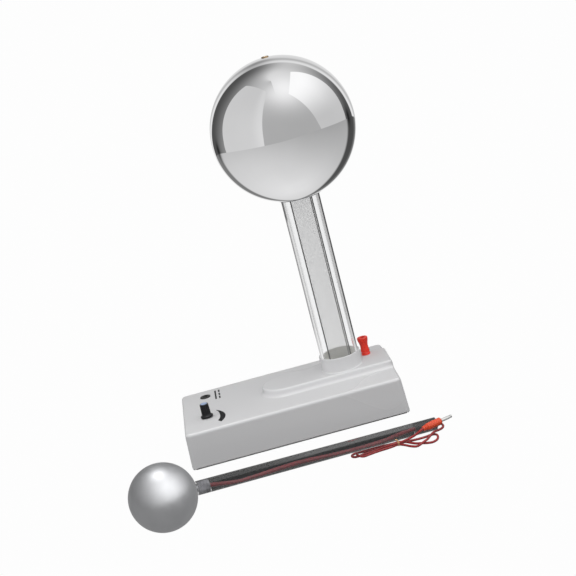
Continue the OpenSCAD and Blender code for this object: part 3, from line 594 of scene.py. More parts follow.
# ------------------------------------------------------------------ mesh helpers
def new_object(name, verts, faces, body, material, smooth=35.0, normals=None):
    """verts in millimetres."""
    me = bpy.data.meshes.new(name)
    me.from_pydata((np.asarray(verts, float) * MM).tolist(), [], [tuple(int(i) for i in f) for f in faces])
    me.validate()
    me.materials.append(material)
    ob = bpy.data.objects.new(name, me)
    scene.collection.objects.link(ob)
    me.polygons.foreach_set("use_smooth", [True] * len(me.polygons))
    if smooth is not None:
        me.set_sharp_from_angle(angle=math.radians(smooth))
    if normals is not None:
        me.normals_split_custom_set_from_vertices(np.asarray(normals, float).tolist())
    me.update()
    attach(ob, body)
    return ob


def place(origin, axis=(0, 0, 1), roll=0.0):
    """Frame with its z along axis; the axis frames turn by roll degrees about it."""
    w = np.array(axis, float)
    w /= np.linalg.norm(w)
    ref = np.array([0, 0, 1.0]) if abs(w[2]) < 0.9 else np.array([1.0, 0, 0])
    u = np.cross(ref, w)
    if abs(w[2]) > 0.9:
        u = np.array([1.0, 0, 0])
    u = u - (u @ w) * w
    u /= np.linalg.norm(u)
    v = np.cross(w, u)
    c, s = math.cos(math.radians(roll)), math.sin(math.radians(roll))
    m = np.eye(4)
    m[:3, 0], m[:3, 1], m[:3, 2], m[:3, 3] = c * u + s * v, -s * u + c * v, w, origin
    return m


def arc(cx, cy, r, a0, a1, n):
    return [(cx + r * math.cos(math.radians(a0 + (a1 - a0) * i / n)), cy + r * math.sin(math.radians(a0 + (a1 - a0) * i / n))) for i in range(n + 1)]


def lathe_data(prof, n=96, frame_m=None, closed=False, shape=None):
    """Revolves (r, z) points, listed so that the surface is on the left going up the outside, into vertices and faces."""
    th = np.arange(n) * 2 * math.pi / n
    verts, rows = [], []
    for r, z in prof:
        if r < 1e-6:
            rows.append([len(verts)] * n)
            verts.append((0, 0, z))
        else:
            rr = r * np.ones(n) if shape is None else shape(th, r, z)
            rows.append(list(range(len(verts), len(verts) + n)))
            verts += list(zip(rr * np.cos(th), rr * np.sin(th), z * np.ones(n)))
    faces = []
    m = len(prof)
    for i in range(m if closed else m - 1):
        a, b = rows[i], rows[(i + 1) % m]
        for k in range(n):
            k2 = (k + 1) % n
            f = []
            for q in (a[k], a[k2], b[k2], b[k]):
                if q not in f:
                    f.append(q)
            if len(f) > 2:
                faces.append(f)
    v = np.array(verts, float)
    if frame_m is not None:
        v = v @ frame_m[:3, :3].T + frame_m[:3, 3]
    return v, faces


def lathe(name, prof, body, material, n=96, frame_m=None, closed=False, shape=None, smooth=35.0):
    v, f = lathe_data(prof, n, frame_m, closed, shape)
    return new_object(name, v, f, body, material, smooth)


def join_data(*parts):
    vs, fs, k = [], [], 0
    for v, f in parts:
        vs.append(np.asarray(v, float))
        fs += [[i + k for i in q] for q in f]
        k += len(v)
    return np.vstack(vs), fs


def sweep_data(path, radius, n=12, closed=False):
    """Round tube along points, with capped ends."""
    p = np.asarray(path, float)
    m = len(p)
    tan = np.gradient(p, axis=0) if not closed else np.roll(p, -1, 0) - np.roll(p, 1, 0)
    tan /= np.linalg.norm(tan, axis=1)[:, None]
    a = np.cross(tan[0], (0, 0, 1.0))
    if np.linalg.norm(a) < 0.1:
        a = np.cross(tan[0], (1.0, 0, 0))
    a /= np.linalg.norm(a)
    verts, rows = [], []
    rad = np.broadcast_to(np.asarray(radius, float), (m,))
    for i in range(m):
        a = a - (a @ tan[i]) * tan[i]
        a /= np.linalg.norm(a)
        b = np.cross(tan[i], a)
        rows.append(list(range(len(verts), len(verts) + n)))
        for k in range(n):
            t = 2 * math.pi * k / n
            verts.append(p[i] + rad[i] * (math.cos(t) * a + math.sin(t) * b))
    faces = [[rows[i][k], rows[i][(k + 1) % n], rows[(i + 1) % m][(k + 1) % n], rows[(i + 1) % m][k]] for i in range(m if closed else m - 1) for k in range(n)]
    if not closed:
        faces.append(rows[0][::-1])
        faces.append(rows[-1][:])
    return np.array(verts), faces


def spline_points(ctrl, step=1.0):
    """Centripetal Catmull-Rom through the control points, sampled about every step millimetres."""
    p = np.asarray(ctrl, float)
    p = np.vstack([2 * p[0] - p[1], p, 2 * p[-1] - p[-2]])
    out = []
    for i in range(1, len(p) - 2):
        p0, p1, p2, p3 = p[i - 1 : i + 3]
        t0 = 0.0
        t1 = t0 + np.linalg.norm(p1 - p0) ** 0.5
        t2 = t1 + np.linalg.norm(p2 - p1) ** 0.5
        t3 = t2 + np.linalg.norm(p3 - p2) ** 0.5
        n = max(2, int(round(np.linalg.norm(p2 - p1) / step)))
        for k in range(n):
            t = t1 + (t2 - t1) * k / n
            a1 = (t1 - t) / (t1 - t0) * p0 + (t - t0) / (t1 - t0) * p1
            a2 = (t2 - t) / (t2 - t1) * p1 + (t - t1) / (t2 - t1) * p2
            a3 = (t3 - t) / (t3 - t2) * p2 + (t - t2) / (t3 - t2) * p3
            b1 = (t2 - t) / (t2 - t0) * a1 + (t - t0) / (t2 - t0) * a2
            b2 = (t3 - t) / (t3 - t1) * a2 + (t - t1) / (t3 - t1) * a3
            out.append((t2 - t) / (t2 - t1) * b1 + (t - t1) / (t2 - t1) * b2)
    out.append(p[-2])
    return np.array(out)


def curve_object(name, pts, radius, body, material):
    cu = bpy.data.curves.new(name, "CURVE")
    cu.dimensions = "3D"
    cu.bevel_depth = radius * MM
    cu.bevel_resolution = 5
    cu.use_fill_caps = True
    sp = cu.splines.new("POLY")
    sp.points.add(len(pts) - 1)
    for q, p in zip(sp.points, pts):
        q.co = (p[0] * MM, p[1] * MM, p[2] * MM, 1)
    sp.use_smooth = True
    cu.materials.append(material)
    ob = bpy.data.objects.new(name, cu)
    scene.collection.objects.link(ob)
    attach(ob, body)
    return ob


# ------------------------------------------------------------------ the free lead (made first)
LEAD_R = 1.35
LEAD_PATH = [
    (147.6, -153.7, 7.33), (149.8, -153.3, 7.05), (152.3, -153.4, 6.3), (154.4, -154.9, 5.3), (155.3, -157.3, 4.3), (154.6, -160, 3.5), (152.4, -162.3, 3.1),
    (149.2, -164.3, 3.1), (145.6, -166.4, 3.5), (142, -169.8, 4.2), (138.5, -174.5, 4.2), (135, -180, 4.2), (131.5, -185.5, 4.2), (128, -188.6, 4.1),
    (124, -190, 3.0), (120.5, -190.7, 1.9), (117.2, -190.3, 1.4), (112, -185.5, 1.4), (107.5, -178.8, 1.4), (103.6, -174, 1.5), (100.5, -172, 1.8),
    (92, -172.6, 1.4), (86, -173.6, 1.4), (80, -174.1, 1.4), (74, -174.9, 1.4), (68, -176.3, 1.4), (64.5, -177.2, 1.4), (60.2, -178.4, 1.5), (57.4, -178.7, 2.2),
    (54.9, -177.7, 3.2), (53.2, -175.4, 4.0), (52.9, -172.6, 4.2), (53.9, -170.1, 4.2), (56.2, -168.4, 4.15), (62, -167, 4.1), (70, -167, 4.1), (80, -168.4, 4.0),
    (86, -169.6, 3.95), (92, -170.4, 3.9), (97, -170.7, 4.0), (100.5, -170.7, 4.2), (104, -170.9, 3.6), (107, -171.4, 2.8), (110, -172, 2.1), (113, -175, 1.6),
    (118.8, -181.7, 1.4), (123.7, -184.8, 1.4), (128, -187.8, 1.4), (130.8, -189.4, 1.4), (136.2, -190.8, 1.4), (141.6, -187, 1.4), (144.1, -180.3, 1.4),
    (144.3, -173.1, 1.4), (142.2, -169.3, 1.4), (137.2, -168.8, 1.4), (132.9, -170.1, 1.4), (126, -170.6, 1.4), (120.6, -170.4, 1.4), (113, -169, 1.4),
    (107, -168.3, 1.4), (104, -168.6, 1.5), (100.5, -169.3, 1.8), (92, -168.9, 1.4), (84, -168.4, 1.4), (75, -167, 1.4), (66, -165.2, 1.4), (58, -163.6, 1.4),
    (52, -163, 1.4), (49.4, -164.1, 1.4), (47.8, -166.3, 1.4), (47.5, -169.1, 1.4), (48.6, -171.7, 1.4), (50.8, -173.3, 1.4), (53.6, -173.6, 1.4), (60, -171.9, 1.4),
    (66, -171.4, 1.4), (74, -171.4, 1.9), (80, -171.6, 2.8), (86, -172.2, 3.8), (92, -173, 4.05), (100.5, -173.4, 4.2), (104.5, -173.6, 4.5), (109, -173.8, 5.2),
    (113.5, -173.9, 6.1), (118.5, -173.9, 7.45), (121.5, -173.9, 8.6), (125, -173.9, 10.1), (128.1, -173.5, 11.5), (130.8, -172.65, 12.3), (133.6, -171.42, 12.3),
]
lead_pts = spline_points(LEAD_PATH, 0.8)
lead_pts[:, 2] = np.maximum(lead_pts[:, 2], 1.37)
lead = curve_object("wand_lead", lead_pts, LEAD_R, "wand", MAT["lead"])
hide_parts("lead_out", "lead_hank", "lead_in")


# ------------------------------------------------------------------ twist tie, plug
def waist_loop(r, n=8):
    out = []
    for cy, cz, a0, a1 in ((-169.3, 1.8, -90, 30), (-170.7, 4.2, 30, 90), (-173.4, 4.2, 90, 210), (-172.0, 1.8, 210, 270)):
        out += arc(cy, cz, r, a0, a1, n)
    return out


def make_tie():
    loop = waist_loop(1.36 + 0.36)
    loop = [p for i, p in enumerate(loop) if i == 0 or math.dist(p, loop[i - 1]) > 1e-3]
    turns = []
    for t, (xa, xb) in enumerate(((99.4, 100.4), (100.5, 101.6))):
        pts = [(xa + (xb - xa) * i / (len(loop) - 1), y, max(z, 0.42)) for i, (y, z) in enumerate(loop)]
        turns.append(sweep_data(pts, 0.36, 10))
    top = np.array([100.5, -172.0, 6.1])
    out = np.array([-0.35, -0.45, 0.62])
    out /= np.linalg.norm(out)
    a = np.cross(out, (0, 0, 1.0))
    a /= np.linalg.norm(a)
    b = np.cross(out, a)
    for ph in (0.0, math.pi):
        pts = []
        for i in range(40):
            s = i / 39.0
            r = 0.42 + 0.9 * max(0.0, s - 0.82) * 3
            t = ph + s * 4.2 * math.pi
            pts.append(top - 0.2 * out + out * 4.2 * s + r * (math.cos(t) * a + math.sin(t) * b))
        turns.append(sweep_data(pts, 0.36, 8))
    v, f = join_data(*turns)
    ob = new_object("twist_tie", v, f, "wand", MAT["copper"], 40)
    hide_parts("hank_tie")
    return ob


def make_plug():
    fr = place(PLUG_A, PLUG_U)
    prof = [(1.42, 9.0), (1.42, 0.25), (1.6, 0.0), (2.45, 0.0)]
    prof += [(2.62, 0.2), (2.75, 0.6)]
    for k in range(4):
        z = 1.0 + k * 1.15
        prof += [(2.85 + 0.2 * k, z), (2.85 + 0.2 * k, z + 0.55), (2.5 + 0.2 * k, z + 0.7), (2.5 + 0.2 * k, z + 1.0)]
    prof += [(3.75, 5.8), (4.05, 6.6), (4.16, 8.5), (4.24, 12.0), (4.28, PLUG_L - 3.0)]
    prof += arc(3.58, PLUG_L - 0.7, 0.7, 0, 90, 5)
    prof += [(2.15, PLUG_L), (2.15, PLUG_L - 1.0), (0.0, PLUG_L - 1.0)]

    def grip(th, r, z):
        flat = np.ones_like(th) * r
        if 7.0 < z < PLUG_L - 2.5 and r > 4.0:
            flat = r - 0.10 * (np.cos(th * 14) > 0.3)
        return flat

    sleeve = lathe("plug_sleeve_moulded", prof, "wand", MAT["plug"], 112, fr, shape=grip, smooth=40)
    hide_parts("plug_sleeve")
    z0 = PLUG_L - 1.2
    tip = PLUG_L + 15.5
    prof = [(0.0, z0), (2.0, z0), (2.0, PLUG_L + 1.2), (1.78, PLUG_L + 1.5), (1.78, PLUG_L + 2.3)]
    prof += [(1.95 - 0.14 * ((s - 0.5) * 2) ** 2, PLUG_L + 2.6 + 10.2 * s) for s in np.linspace(0, 1, 12)]
    prof += [(1.75, PLUG_L + 13.1), (1.75, PLUG_L + 14.2)] + arc(0.9, tip - 0.9, 0.85, 10, 90, 5) + [(0.0, tip)]

    def leaves(th, r, z):
        if PLUG_L + 2.5 < z < PLUG_L + 12.9:
            return r - 0.22 * (np.abs(np.sin(th * 2)) < 0.14)
        return r * np.ones_like(th)

    pin = lathe("plug_pin_sprung", prof, "wand", MAT["pin"], 96, fr, shape=leaves, smooth=30)
    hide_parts("plug_pin")
    return sleeve, pin


tie = make_tie()
sleeve, pin = make_plug()


# ------------------------------------------------------------------ base housing
def rounded_rect(x, y, a, b, r):
    qx, qy = np.abs(x) - a + r, np.abs(y) - b + r
    return np.hypot(np.maximum(qx, 0), np.maximum(qy, 0)) + np.minimum(np.maximum(qx, qy), 0) - r


def round_and(a, b, r):
    return np.hypot(np.maximum(a + r, 0), np.maximum(b + r, 0)) - r + np.minimum(np.maximum(a + r, b + r), 0)


def fillet_or(a, b, r):
    return np.maximum(r, np.minimum(a, b)) - np.hypot(np.maximum(r - a, 0), np.maximum(r - b, 0))


def housing_field(x, y, z):
    out = 2.0 * (1 - z / BASE_H)
    side = rounded_rect(x, y, 130.0 + out, 76.0 + out, 6.0)
    plan = np.where(x > 0, np.abs(y) - 29.0, np.hypot(x, y) - 29.0)
    top = fillet_or(z - BASE_H, round_and(plan, z - PAD_Z, 2.5), 3.5)
    d = round_and(round_and(side, top, 3.0), -z, 0.5)
    cave = round_and(np.maximum(np.abs(x) - 127.0, np.abs(y) - 73.0), z - 40.5, 1.0)
    cave = np.minimum(cave, round_and(np.maximum(plan + 3.0, x - 127.0), z - 49.5, 1.0))
    for sx in (-119.0, 119.0):
        for sy in (-66.0, 66.0):
            cave = np.maximum(cave, np.minimum(4.5 - np.hypot(x - sx, y - sy), z - 5.0 + 0 * x))
    d = np.maximum(d, -cave)
    for cx, cy, r in ((COL[0], 0.0, 24.0), (KNOB[0], KNOB[1], 3.7), (JACK[0], JACK[1], 5.7), (TERM[0], TERM[1], 3.2)):
        d = np.maximum(d, r - np.hypot(x - cx, y - cy))
    return d


def surface_nets(field, lo, hi, h):
    ax = [np.arange(a, b + h, h) for a, b in zip(lo, hi)]
    g = np.meshgrid(*ax, indexing="ij")
    v = field(*g)
    inside = v < 0
    shp = tuple(s - 1 for s in v.shape)
    cut = [slice(0, -1), slice(1, None)]
    pos, cnt = np.zeros(shp + (3,)), np.zeros(shp)
    corners = [(i, j, k) for i in (0, 1) for j in (0, 1) for k in (0, 1)]
    for c in corners:
        for axis in range(3):
            if c[axis]:
                continue
            e = list(c)
            e[axis] = 1
            va, vb = v[tuple(cut[q] for q in c)], v[tuple(cut[q] for q in e)]
            hit = (va < 0) != (vb < 0)
            t = np.where(hit, va / np.where(hit, va - vb, 1.0), 0.0)
            for q in range(3):
                pos[..., q] += np.where(hit, c[q] + (t if q == axis else 0.0), 0.0)
            cnt += hit
    act = cnt > 0
    ids = -np.ones(shp, int)
    ids[act] = np.arange(act.sum())
    where = np.argwhere(act)
    verts = (where + pos[act] / cnt[act][:, None]) * h + np.array([a[0] for a in ax])
    faces = []
    for axis in range(3):
        lo_s, hi_s = [slice(None)] * 3, [slice(None)] * 3
        lo_s[axis], hi_s[axis] = slice(0, -1), slice(1, None)
        a, b = inside[tuple(lo_s)], inside[tuple(hi_s)]
        for flip, m in ((False, a & ~b), (True, ~a & b)):
            c = np.argwhere(m)
            o1, o2 = [q for q in range(3) if q != axis]
            c = c[(c[:, o1] > 0) & (c[:, o2] > 0) & (c[:, o1] < shp[o1]) & (c[:, o2] < shp[o2])]
            quad = []
            for d1, d2 in ((-1, -1), (0, -1), (0, 0), (-1, 0)):
                q = c.copy()
                q[:, o1] += d1
                q[:, o2] += d2
                quad.append(ids[q[:, 0], q[:, 1], q[:, 2]])
            quad = np.stack(quad, 1)
            if (axis == 1) != flip:
                quad = quad[:, ::-1]
            faces.append(quad)
    return verts, np.vstack(faces)


def gradient(field, p, e):
    g = np.stack([field(*(p + e * np.eye(3)[i]).T) - field(*(p - e * np.eye(3)[i]).T) for i in range(3)], 1)
    return g / np.maximum(np.linalg.norm(g, axis=1), 1e-9)[:, None]


def make_housing():
    h = 1.5
    v, f = surface_nets(housing_field, (-135.0, -81.0, -1.6), (135.0, 81.0, 55.4), h)
    for _ in range(4):
        d = np.clip(housing_field(*v.T), -0.5 * h, 0.5 * h)
        v = v - d[:, None] * gradient(housing_field, v, 0.05)
    v[:, 2] = np.maximum(v[:, 2], 0.0)
    n = gradient(housing_field, v, 0.12)
    ob = new_object("base_housing", v, f, "base", MAT["housing"], None, n)
    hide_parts("base_shell")
    # the ring that the column stands in, with the seat inside it
    prof = [(25.0 + 1.4, PAD_Z)] + arc(25.0 + 1.4, PAD_Z + 1.4, 1.4, 270, 180, 8)[1:] + [(25.0, 60.0), (25.0, 66.0)]
    prof += arc(24.2, 69.2, 0.8, 0, 90, 6) + arc(23.65, 69.7, 0.3, 90, 180, 3)
    prof += [(23.32, 60.0), (23.32, 46.5), (20.5, 46.5), (20.5, 41.0), (24.3, 41.0), (24.3, PAD_Z - 0.3), (26.4, PAD_Z - 0.3)]
    ob = lathe("column_socket", prof, "base", MAT["housing"], 144, place(COL), closed=True, smooth=40)
    # painted shade and tint: the inner wall and seat take the khaki colour
    ob.data.materials.append(MAT["socket_inside_shade"])
    for q in ob.data.polygons:
        r = math.hypot(q.center.x / MM - COL[0], q.center.y / MM)
        if r < 23.6 and q.center.z / MM < 69.5:
            q.material_index = 1
    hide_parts("tube_socket")


make_housing()


def prism_strip(inner, outer, z0, z1):
    """Closed band between two matching rows of (x, y) points."""
    n = len(inner)
    v = [(x, y, z) for z in (z0, z1) for row in (inner, outer) for x, y in row]
    i0, o0, i1, o1 = 0, n, 2 * n, 3 * n
    f = []
    for k in range(n - 1):
        f += [[i1 + k, o1 + k, o1 + k + 1, i1 + k + 1], [i0 + k + 1, o0 + k + 1, o0 + k, i0 + k]]
        f += [[o0 + k, o0 + k + 1, o1 + k + 1, o1 + k], [i0 + k + 1, i0 + k, i1 + k, i1 + k + 1]]
    f += [[i0, o0, o1, i1], [o0 + n - 1, i0 + n - 1, i1 + n - 1, o1 + n - 1]]
    return v, f


def make_prints():
    # widening wedge round the knob: slower to faster
    inner, outer = [], []
    for i in range(41):
        s = i / 40.0
        deg = 58 - 118 * s
        a = math.radians(deg)
        ro, ri = 20.4 + 0.00165 * (deg - 22) ** 2, 15.4 + 0.0021 * (deg - 3) ** 2
        inner.append((KNOB[0] + ri * math.cos(a), KNOB[1] + ri * math.sin(a)))
        outer.append((KNOB[0] + ro * math.cos(a), KNOB[1] + ro * math.sin(a)))
    parts = [prism_strip(inner, outer, 43.40, 43.56)]
    # direct current: a bar over three dashes
    def bar(x0, x1, y0, y1):
        return prism_strip([(x0, y0), (x1, y0)], [(x0, y1), (x1, y1)][::1], 43.40, 43.56)

    parts.append(bar(-88.0, -86.0, 30.0, 64.0))
    for k in range(3):
        y = 30.0 + k * 12.5
        parts.append(bar(-83.2, -81.2, y, y + 9.0))
    v, f = join_data(*parts)
    ob = new_object("panel_print", v, f, "base", MAT["ink"], 30)


make_prints()


# ------------------------------------------------------------------ controls and terminal
def ribs(count, depth, z0, z1, rmin=0.0, width=0.55):
    def shape(th, r, z):
        if z0 <= z <= z1 and r > rmin:
            k = np.clip((np.cos(th * count) - (1 - 2 * width)) / 0.5, 0, 1)
            return r - depth * (1 - k)
        return r * np.ones_like(th)

    return shape


def make_controls():
    at = place(KNOB)
    prof = [(3.0, 58.0), (3.0, 44.6), (6.2, 44.6), (6.4, 44.35), (7.1, 44.35), (7.3, 44.6), (7.3, 45.9)]
    prof += arc(6.7, 46.1, 0.6, 0, 75, 4) + [(6.2, 46.95), (5.7, 47.5), (5.5, 48.2), (5.48, 48.6), (5.4, 52.0), (5.25, 56.5), (5.15, 59.4), (5.1, 60.4)]
    prof += arc(4.55, 60.65, 0.5, 10, 90, 4) + [(4.05, 61.15), (3.95, 61.05), (3.95, 59.0), (0.0, 59.0)]
    ob = lathe("speed_knob_body", prof, "knob", MAT["knob"], 216, at, shape=ribs(18, 0.38, 48.5, 60.5, 4.9), smooth=38)
    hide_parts("speed_knob")
    prof = [(0.0, 59.2), (3.85, 59.2), (3.85, 61.1)] + arc(3.4, 61.3, 0.45, 0, 90, 5) + [(1.5, 61.8), (0.0, 61.82)]
    a = lathe_data(prof, 96, at)
    line = prism_strip([(KNOB[0] - 0.4, KNOB[1] - 3.2), (KNOB[0] - 0.4, KNOB[1] - 0.3)][::-1], [(KNOB[0] + 0.4, KNOB[1] - 3.2), (KNOB[0] + 0.4, KNOB[1] - 0.3)][::-1], 61.6, 62.05)
    v, f = join_data(a, line)
    ob = new_object("knob_insert", v, f, "knob", MAT["knob_blue"], 35)
    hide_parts("knob_cap")
    at = place(JACK)
    prof = [(5.5, 24.0), (5.5, BASE_H - 0.02), (6.3, BASE_H - 0.02), (6.5, BASE_H + 0.1), (6.5, BASE_H + 0.8)] + arc(6.1, BASE_H + 0.8, 0.4, 0, 90, 5)
    prof += [(4.3, BASE_H + 1.2), (4.1, BASE_H + 1.05), (3.5, BASE_H + 1.05), (3.2, BASE_H + 0.8), (3.0, BASE_H + 0.4), (3.0, 31.0), (1.05, 31.0), (1.05, 24.0)]
    ob = lathe("power_socket", prof, "base", MAT["jack"], 96, at, closed=True, smooth=35)
    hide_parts("dc_jack")
    at = place(TERM)
    prof = [(2.9, PAD_Z - 3.0), (3.1, PAD_Z - 3.0), (3.1, PAD_Z), (5.2, PAD_Z), (5.4, PAD_Z + 0.25), (5.4, PAD_Z + 2.4), (5.25, PAD_Z + 2.75), (4.95, PAD_Z + 3.3), (4.7, PAD_Z + 3.4), (2.9, PAD_Z + 3.4)]
    ob = lathe("terminal_seat", prof, "base", MAT["terminal"], 96, at, closed=True, smooth=35)
    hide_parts("terminal_base")

    def flutes(th, r, z):
        zz = z - PAD_Z
        if zz > 12.0 and r > 4.6:
            depth = 0.55 * min(1.0, (zz - 12.0) / 3.0)
            return r - depth * np.clip((np.cos(th * 12) - 0.25) / 0.75, 0, 1)
        return r * np.ones_like(th)

    prof = [(3.3, PAD_Z + 3.8), (5.15, PAD_Z + 3.8), (5.38, PAD_Z + 4.0), (5.5, PAD_Z + 4.4), (5.48, PAD_Z + 5.4), (5.3, PAD_Z + 6.6), (5.05, PAD_Z + 8.0), (4.87, PAD_Z + 9.5), (4.8, PAD_Z + 11.0)]
    prof += [(4.86, PAD_Z + 12.2), (5.0, PAD_Z + 13.4), (5.3, PAD_Z + 15.0), (5.7, PAD_Z + 16.5), (6.1, PAD_Z + 17.9), (6.4, PAD_Z + 19.0), (6.5, PAD_Z + 19.8), (6.5, PAD_Z + 21.2)]
    prof += arc(5.4, PAD_Z + 21.4, 1.1, 0, 90, 6) + [(4.4, PAD_Z + 22.5), (4.1, PAD_Z + 22.35), (3.1, PAD_Z + 22.35), (2.8, PAD_Z + 22.1), (2.8, 73.6), (3.3, 73.6)]
    ob = lathe("terminal_grip", prof, "terminal_head", MAT["terminal"], 192, at, closed=True, shape=flutes, smooth=38)
    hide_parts("terminal_cap")


make_controls()


# ------------------------------------------------------------------ column, belt
def make_column():
    prof = [(TUBE_RI + 0.25, SEAT_Z + 0.02), (TUBE_R - 0.25, SEAT_Z + 0.02), (TUBE_R, SEAT_Z + 0.27), (TUBE_R, TUBE_TOP - 0.3), (TUBE_R - 0.3, TUBE_TOP), (TUBE_RI + 0.3, TUBE_TOP), (TUBE_RI, TUBE_TOP - 0.3), (TUBE_RI, SEAT_Z + 0.27)]
    long = []
    for (r0, z0), (r1, z1) in zip(prof, prof[1:] + prof[:1]):
        n = 24 if abs(z1 - z0) > 50 else 1
        long += [(r0 + (r1 - r0) * i / n, z0 + (z1 - z0) * i / n) for i in range(n)]
    ob = lathe("clear_column", long, "base", MAT["clear"], 192, place(COL), closed=True, smooth=30)
    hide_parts("column_tube")
    # endless belt round both rollers
    def loop(off):
        pts = []
        ra, rb = LOW_R + 0.3 + off, UP_R + 0.3 + off
        tilt = math.degrees(math.asin((ra - rb) / (UP_Z - LOW_Z)))
        a = [(y, LOW_Z + z) for y, z in arc(0, 0, ra, 180 - tilt, 360 + tilt, 40)]
        b = [(y, UP_Z + z) for y, z in arc(0, 0, rb, tilt, 180 - tilt, 40)]
        n = 30
        right = [(a[-1][0] + (b[0][0] - a[-1][0]) * i / n, a[-1][1] + (b[0][1] - a[-1][1]) * i / n) for i in range(1, n)]
        left = [(b[-1][0] + (a[0][0] - b[-1][0]) * i / n, b[-1][1] + (a[0][1] - b[-1][1]) * i / n) for i in range(1, n)]
        return a + right + b + left

    c = 0.14
    e = BELT_W / 2 - 1.3
    rows = [(e, 0.0), (BELT_W / 2 - c, 0.0), (BELT_W / 2, c), (BELT_W / 2, BELT_T - c), (BELT_W / 2 - c, BELT_T), (e, BELT_T)]
    rows += [(-e, BELT_T), (-BELT_W / 2 + c, BELT_T), (-BELT_W / 2, BELT_T - c), (-BELT_W / 2, c), (-BELT_W / 2 + c, 0.0), (-e, 0.0)]
    loops = [[(COL[0] + x, y, z) for y, z in loop(off)] for x, off in rows]
    n, v, f = len(loops[0]), [], []
    for lp in loops:
        v += lp
    for j in range(len(loops)):
        a, b = j * n, ((j + 1) % len(loops)) * n
        for i in range(n):
            f.append([a + i, b + i, b + (i + 1) % n, a + (i + 1) % n])
    ob = new_object("belt_loop", v, f, "base", MAT["belt"], 35)
    # painted shade: the outer 1.3 mm of each side of the belt takes the dark edge colour
    ob.data.materials.append(MAT["belt_edge_shade"])
    for p in ob.data.polygons:
        if abs(p.center.x / MM - COL[0]) > e:
            p.material_index = 1
    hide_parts("drive_belt")


make_column()


# ------------------------------------------------------------------ dome
def make_dome():
    def shell(r, a0, a1, n):
        return arc(0, DOME_Z, r, a0, a1, n)

    ro, ri = DOME_R, DOME_R - DOME_T
    a_lo = -math.degrees(math.acos(HOLE_R / ro))
    a_hi = math.degrees(math.acos(3.6 / ro))
    b_lo = -math.degrees(math.acos(HOLE_R / ri))
    b_hi = math.degrees(math.acos(3.6 / ri))
    prof = shell(ro, a_lo, a_hi, 150) + shell(ri, b_hi, b_lo, 90)
    v, f = lathe_data(prof, 256, place(COL), closed=True)
    c = np.array([COL[0], 0, DOME_Z])
    d = v - c
    dist = np.linalg.norm(d, axis=1)
    n = d / dist[:, None]
    n[dist < (ro + ri) / 2] *= -1
    ob = new_object("dome_polished", v, f, "dome", MAT["dome"], 35)
    ob.data.materials.append(MAT["dome_inside"])
    mid = (ro + ri) / 2 * MM
    cc = Vector(c * MM)
    for p in ob.data.polygons:
        if (p.center - cc).length < mid:
            p.material_index = 1
    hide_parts("dome_shell")
    at = place(COL)
    top = DOME_Z + DOME_R
    prof = [(2.0, top - 12.0), (2.0, top + 0.75), (2.35, top + 1.0), (3.9, top + 1.0)] + arc(3.9, top + 0.6, 0.4, 80, 0, 4) + [(4.3, top - 0.05), (3.45, top - 0.05), (3.45, top - 14.0), (0.0, top - 14.0), (0.0, top - 12.0)]
    ob = lathe("dome_socket_turned", prof[::-1], "dome", MAT["socket_brass"], 96, at, closed=False, smooth=35)
    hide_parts("dome_socket")


make_dome()


# ------------------------------------------------------------------ wand
def make_liner(s1):
    """Painted shade: a black sheet along the far and lower side of the handle's bore, standing in for the dark
    surroundings that the handle refracts there; the lead lies on it.
    """
    up = np.array([0, 0, 1.0]) - HAND_U[2] * HAND_U
    up /= np.linalg.norm(up)
    back = np.cross(up, HAND_U)
    back *= 1 if back[1] > 0 else -1
    n, m = 40, 30
    rows = []
    for r in (5.44, 5.2):
        for i in range(m + 1):
            s = 53.0 + (s1 - 26.6 - 53.0) * i / m
            c = BALL_C + HAND_U * s
            for k in range(n + 1):
                a = math.radians(-130.0 + 120.0 * k / n)
                rows.append(c + r * (math.cos(a) * back + math.sin(a) * up))
    f = []
    w, half = n + 1, (n + 1) * (m + 1)
    for i in range(m):
        for k in range(n):
            q = [i * w + k, i * w + k + 1, (i + 1) * w + k + 1, (i + 1) * w + k]
            f += [q, [half + j for j in q[::-1]]]
        for k in (0, n):
            q = [i * w + k, (i + 1) * w + k, half + (i + 1) * w + k, half + i * w + k]
            f.append(q if k == 0 else q[::-1])
    for k in range(n):
        for i in (0, m):
            q = [i * w + k, half + i * w + k, half + i * w + k + 1, i * w + k + 1]
            f.append(q if i == 0 else q[::-1])
    ob = new_object("handle_bore_shade_sheet", rows, f, "wand", MAT["liner"], 35)


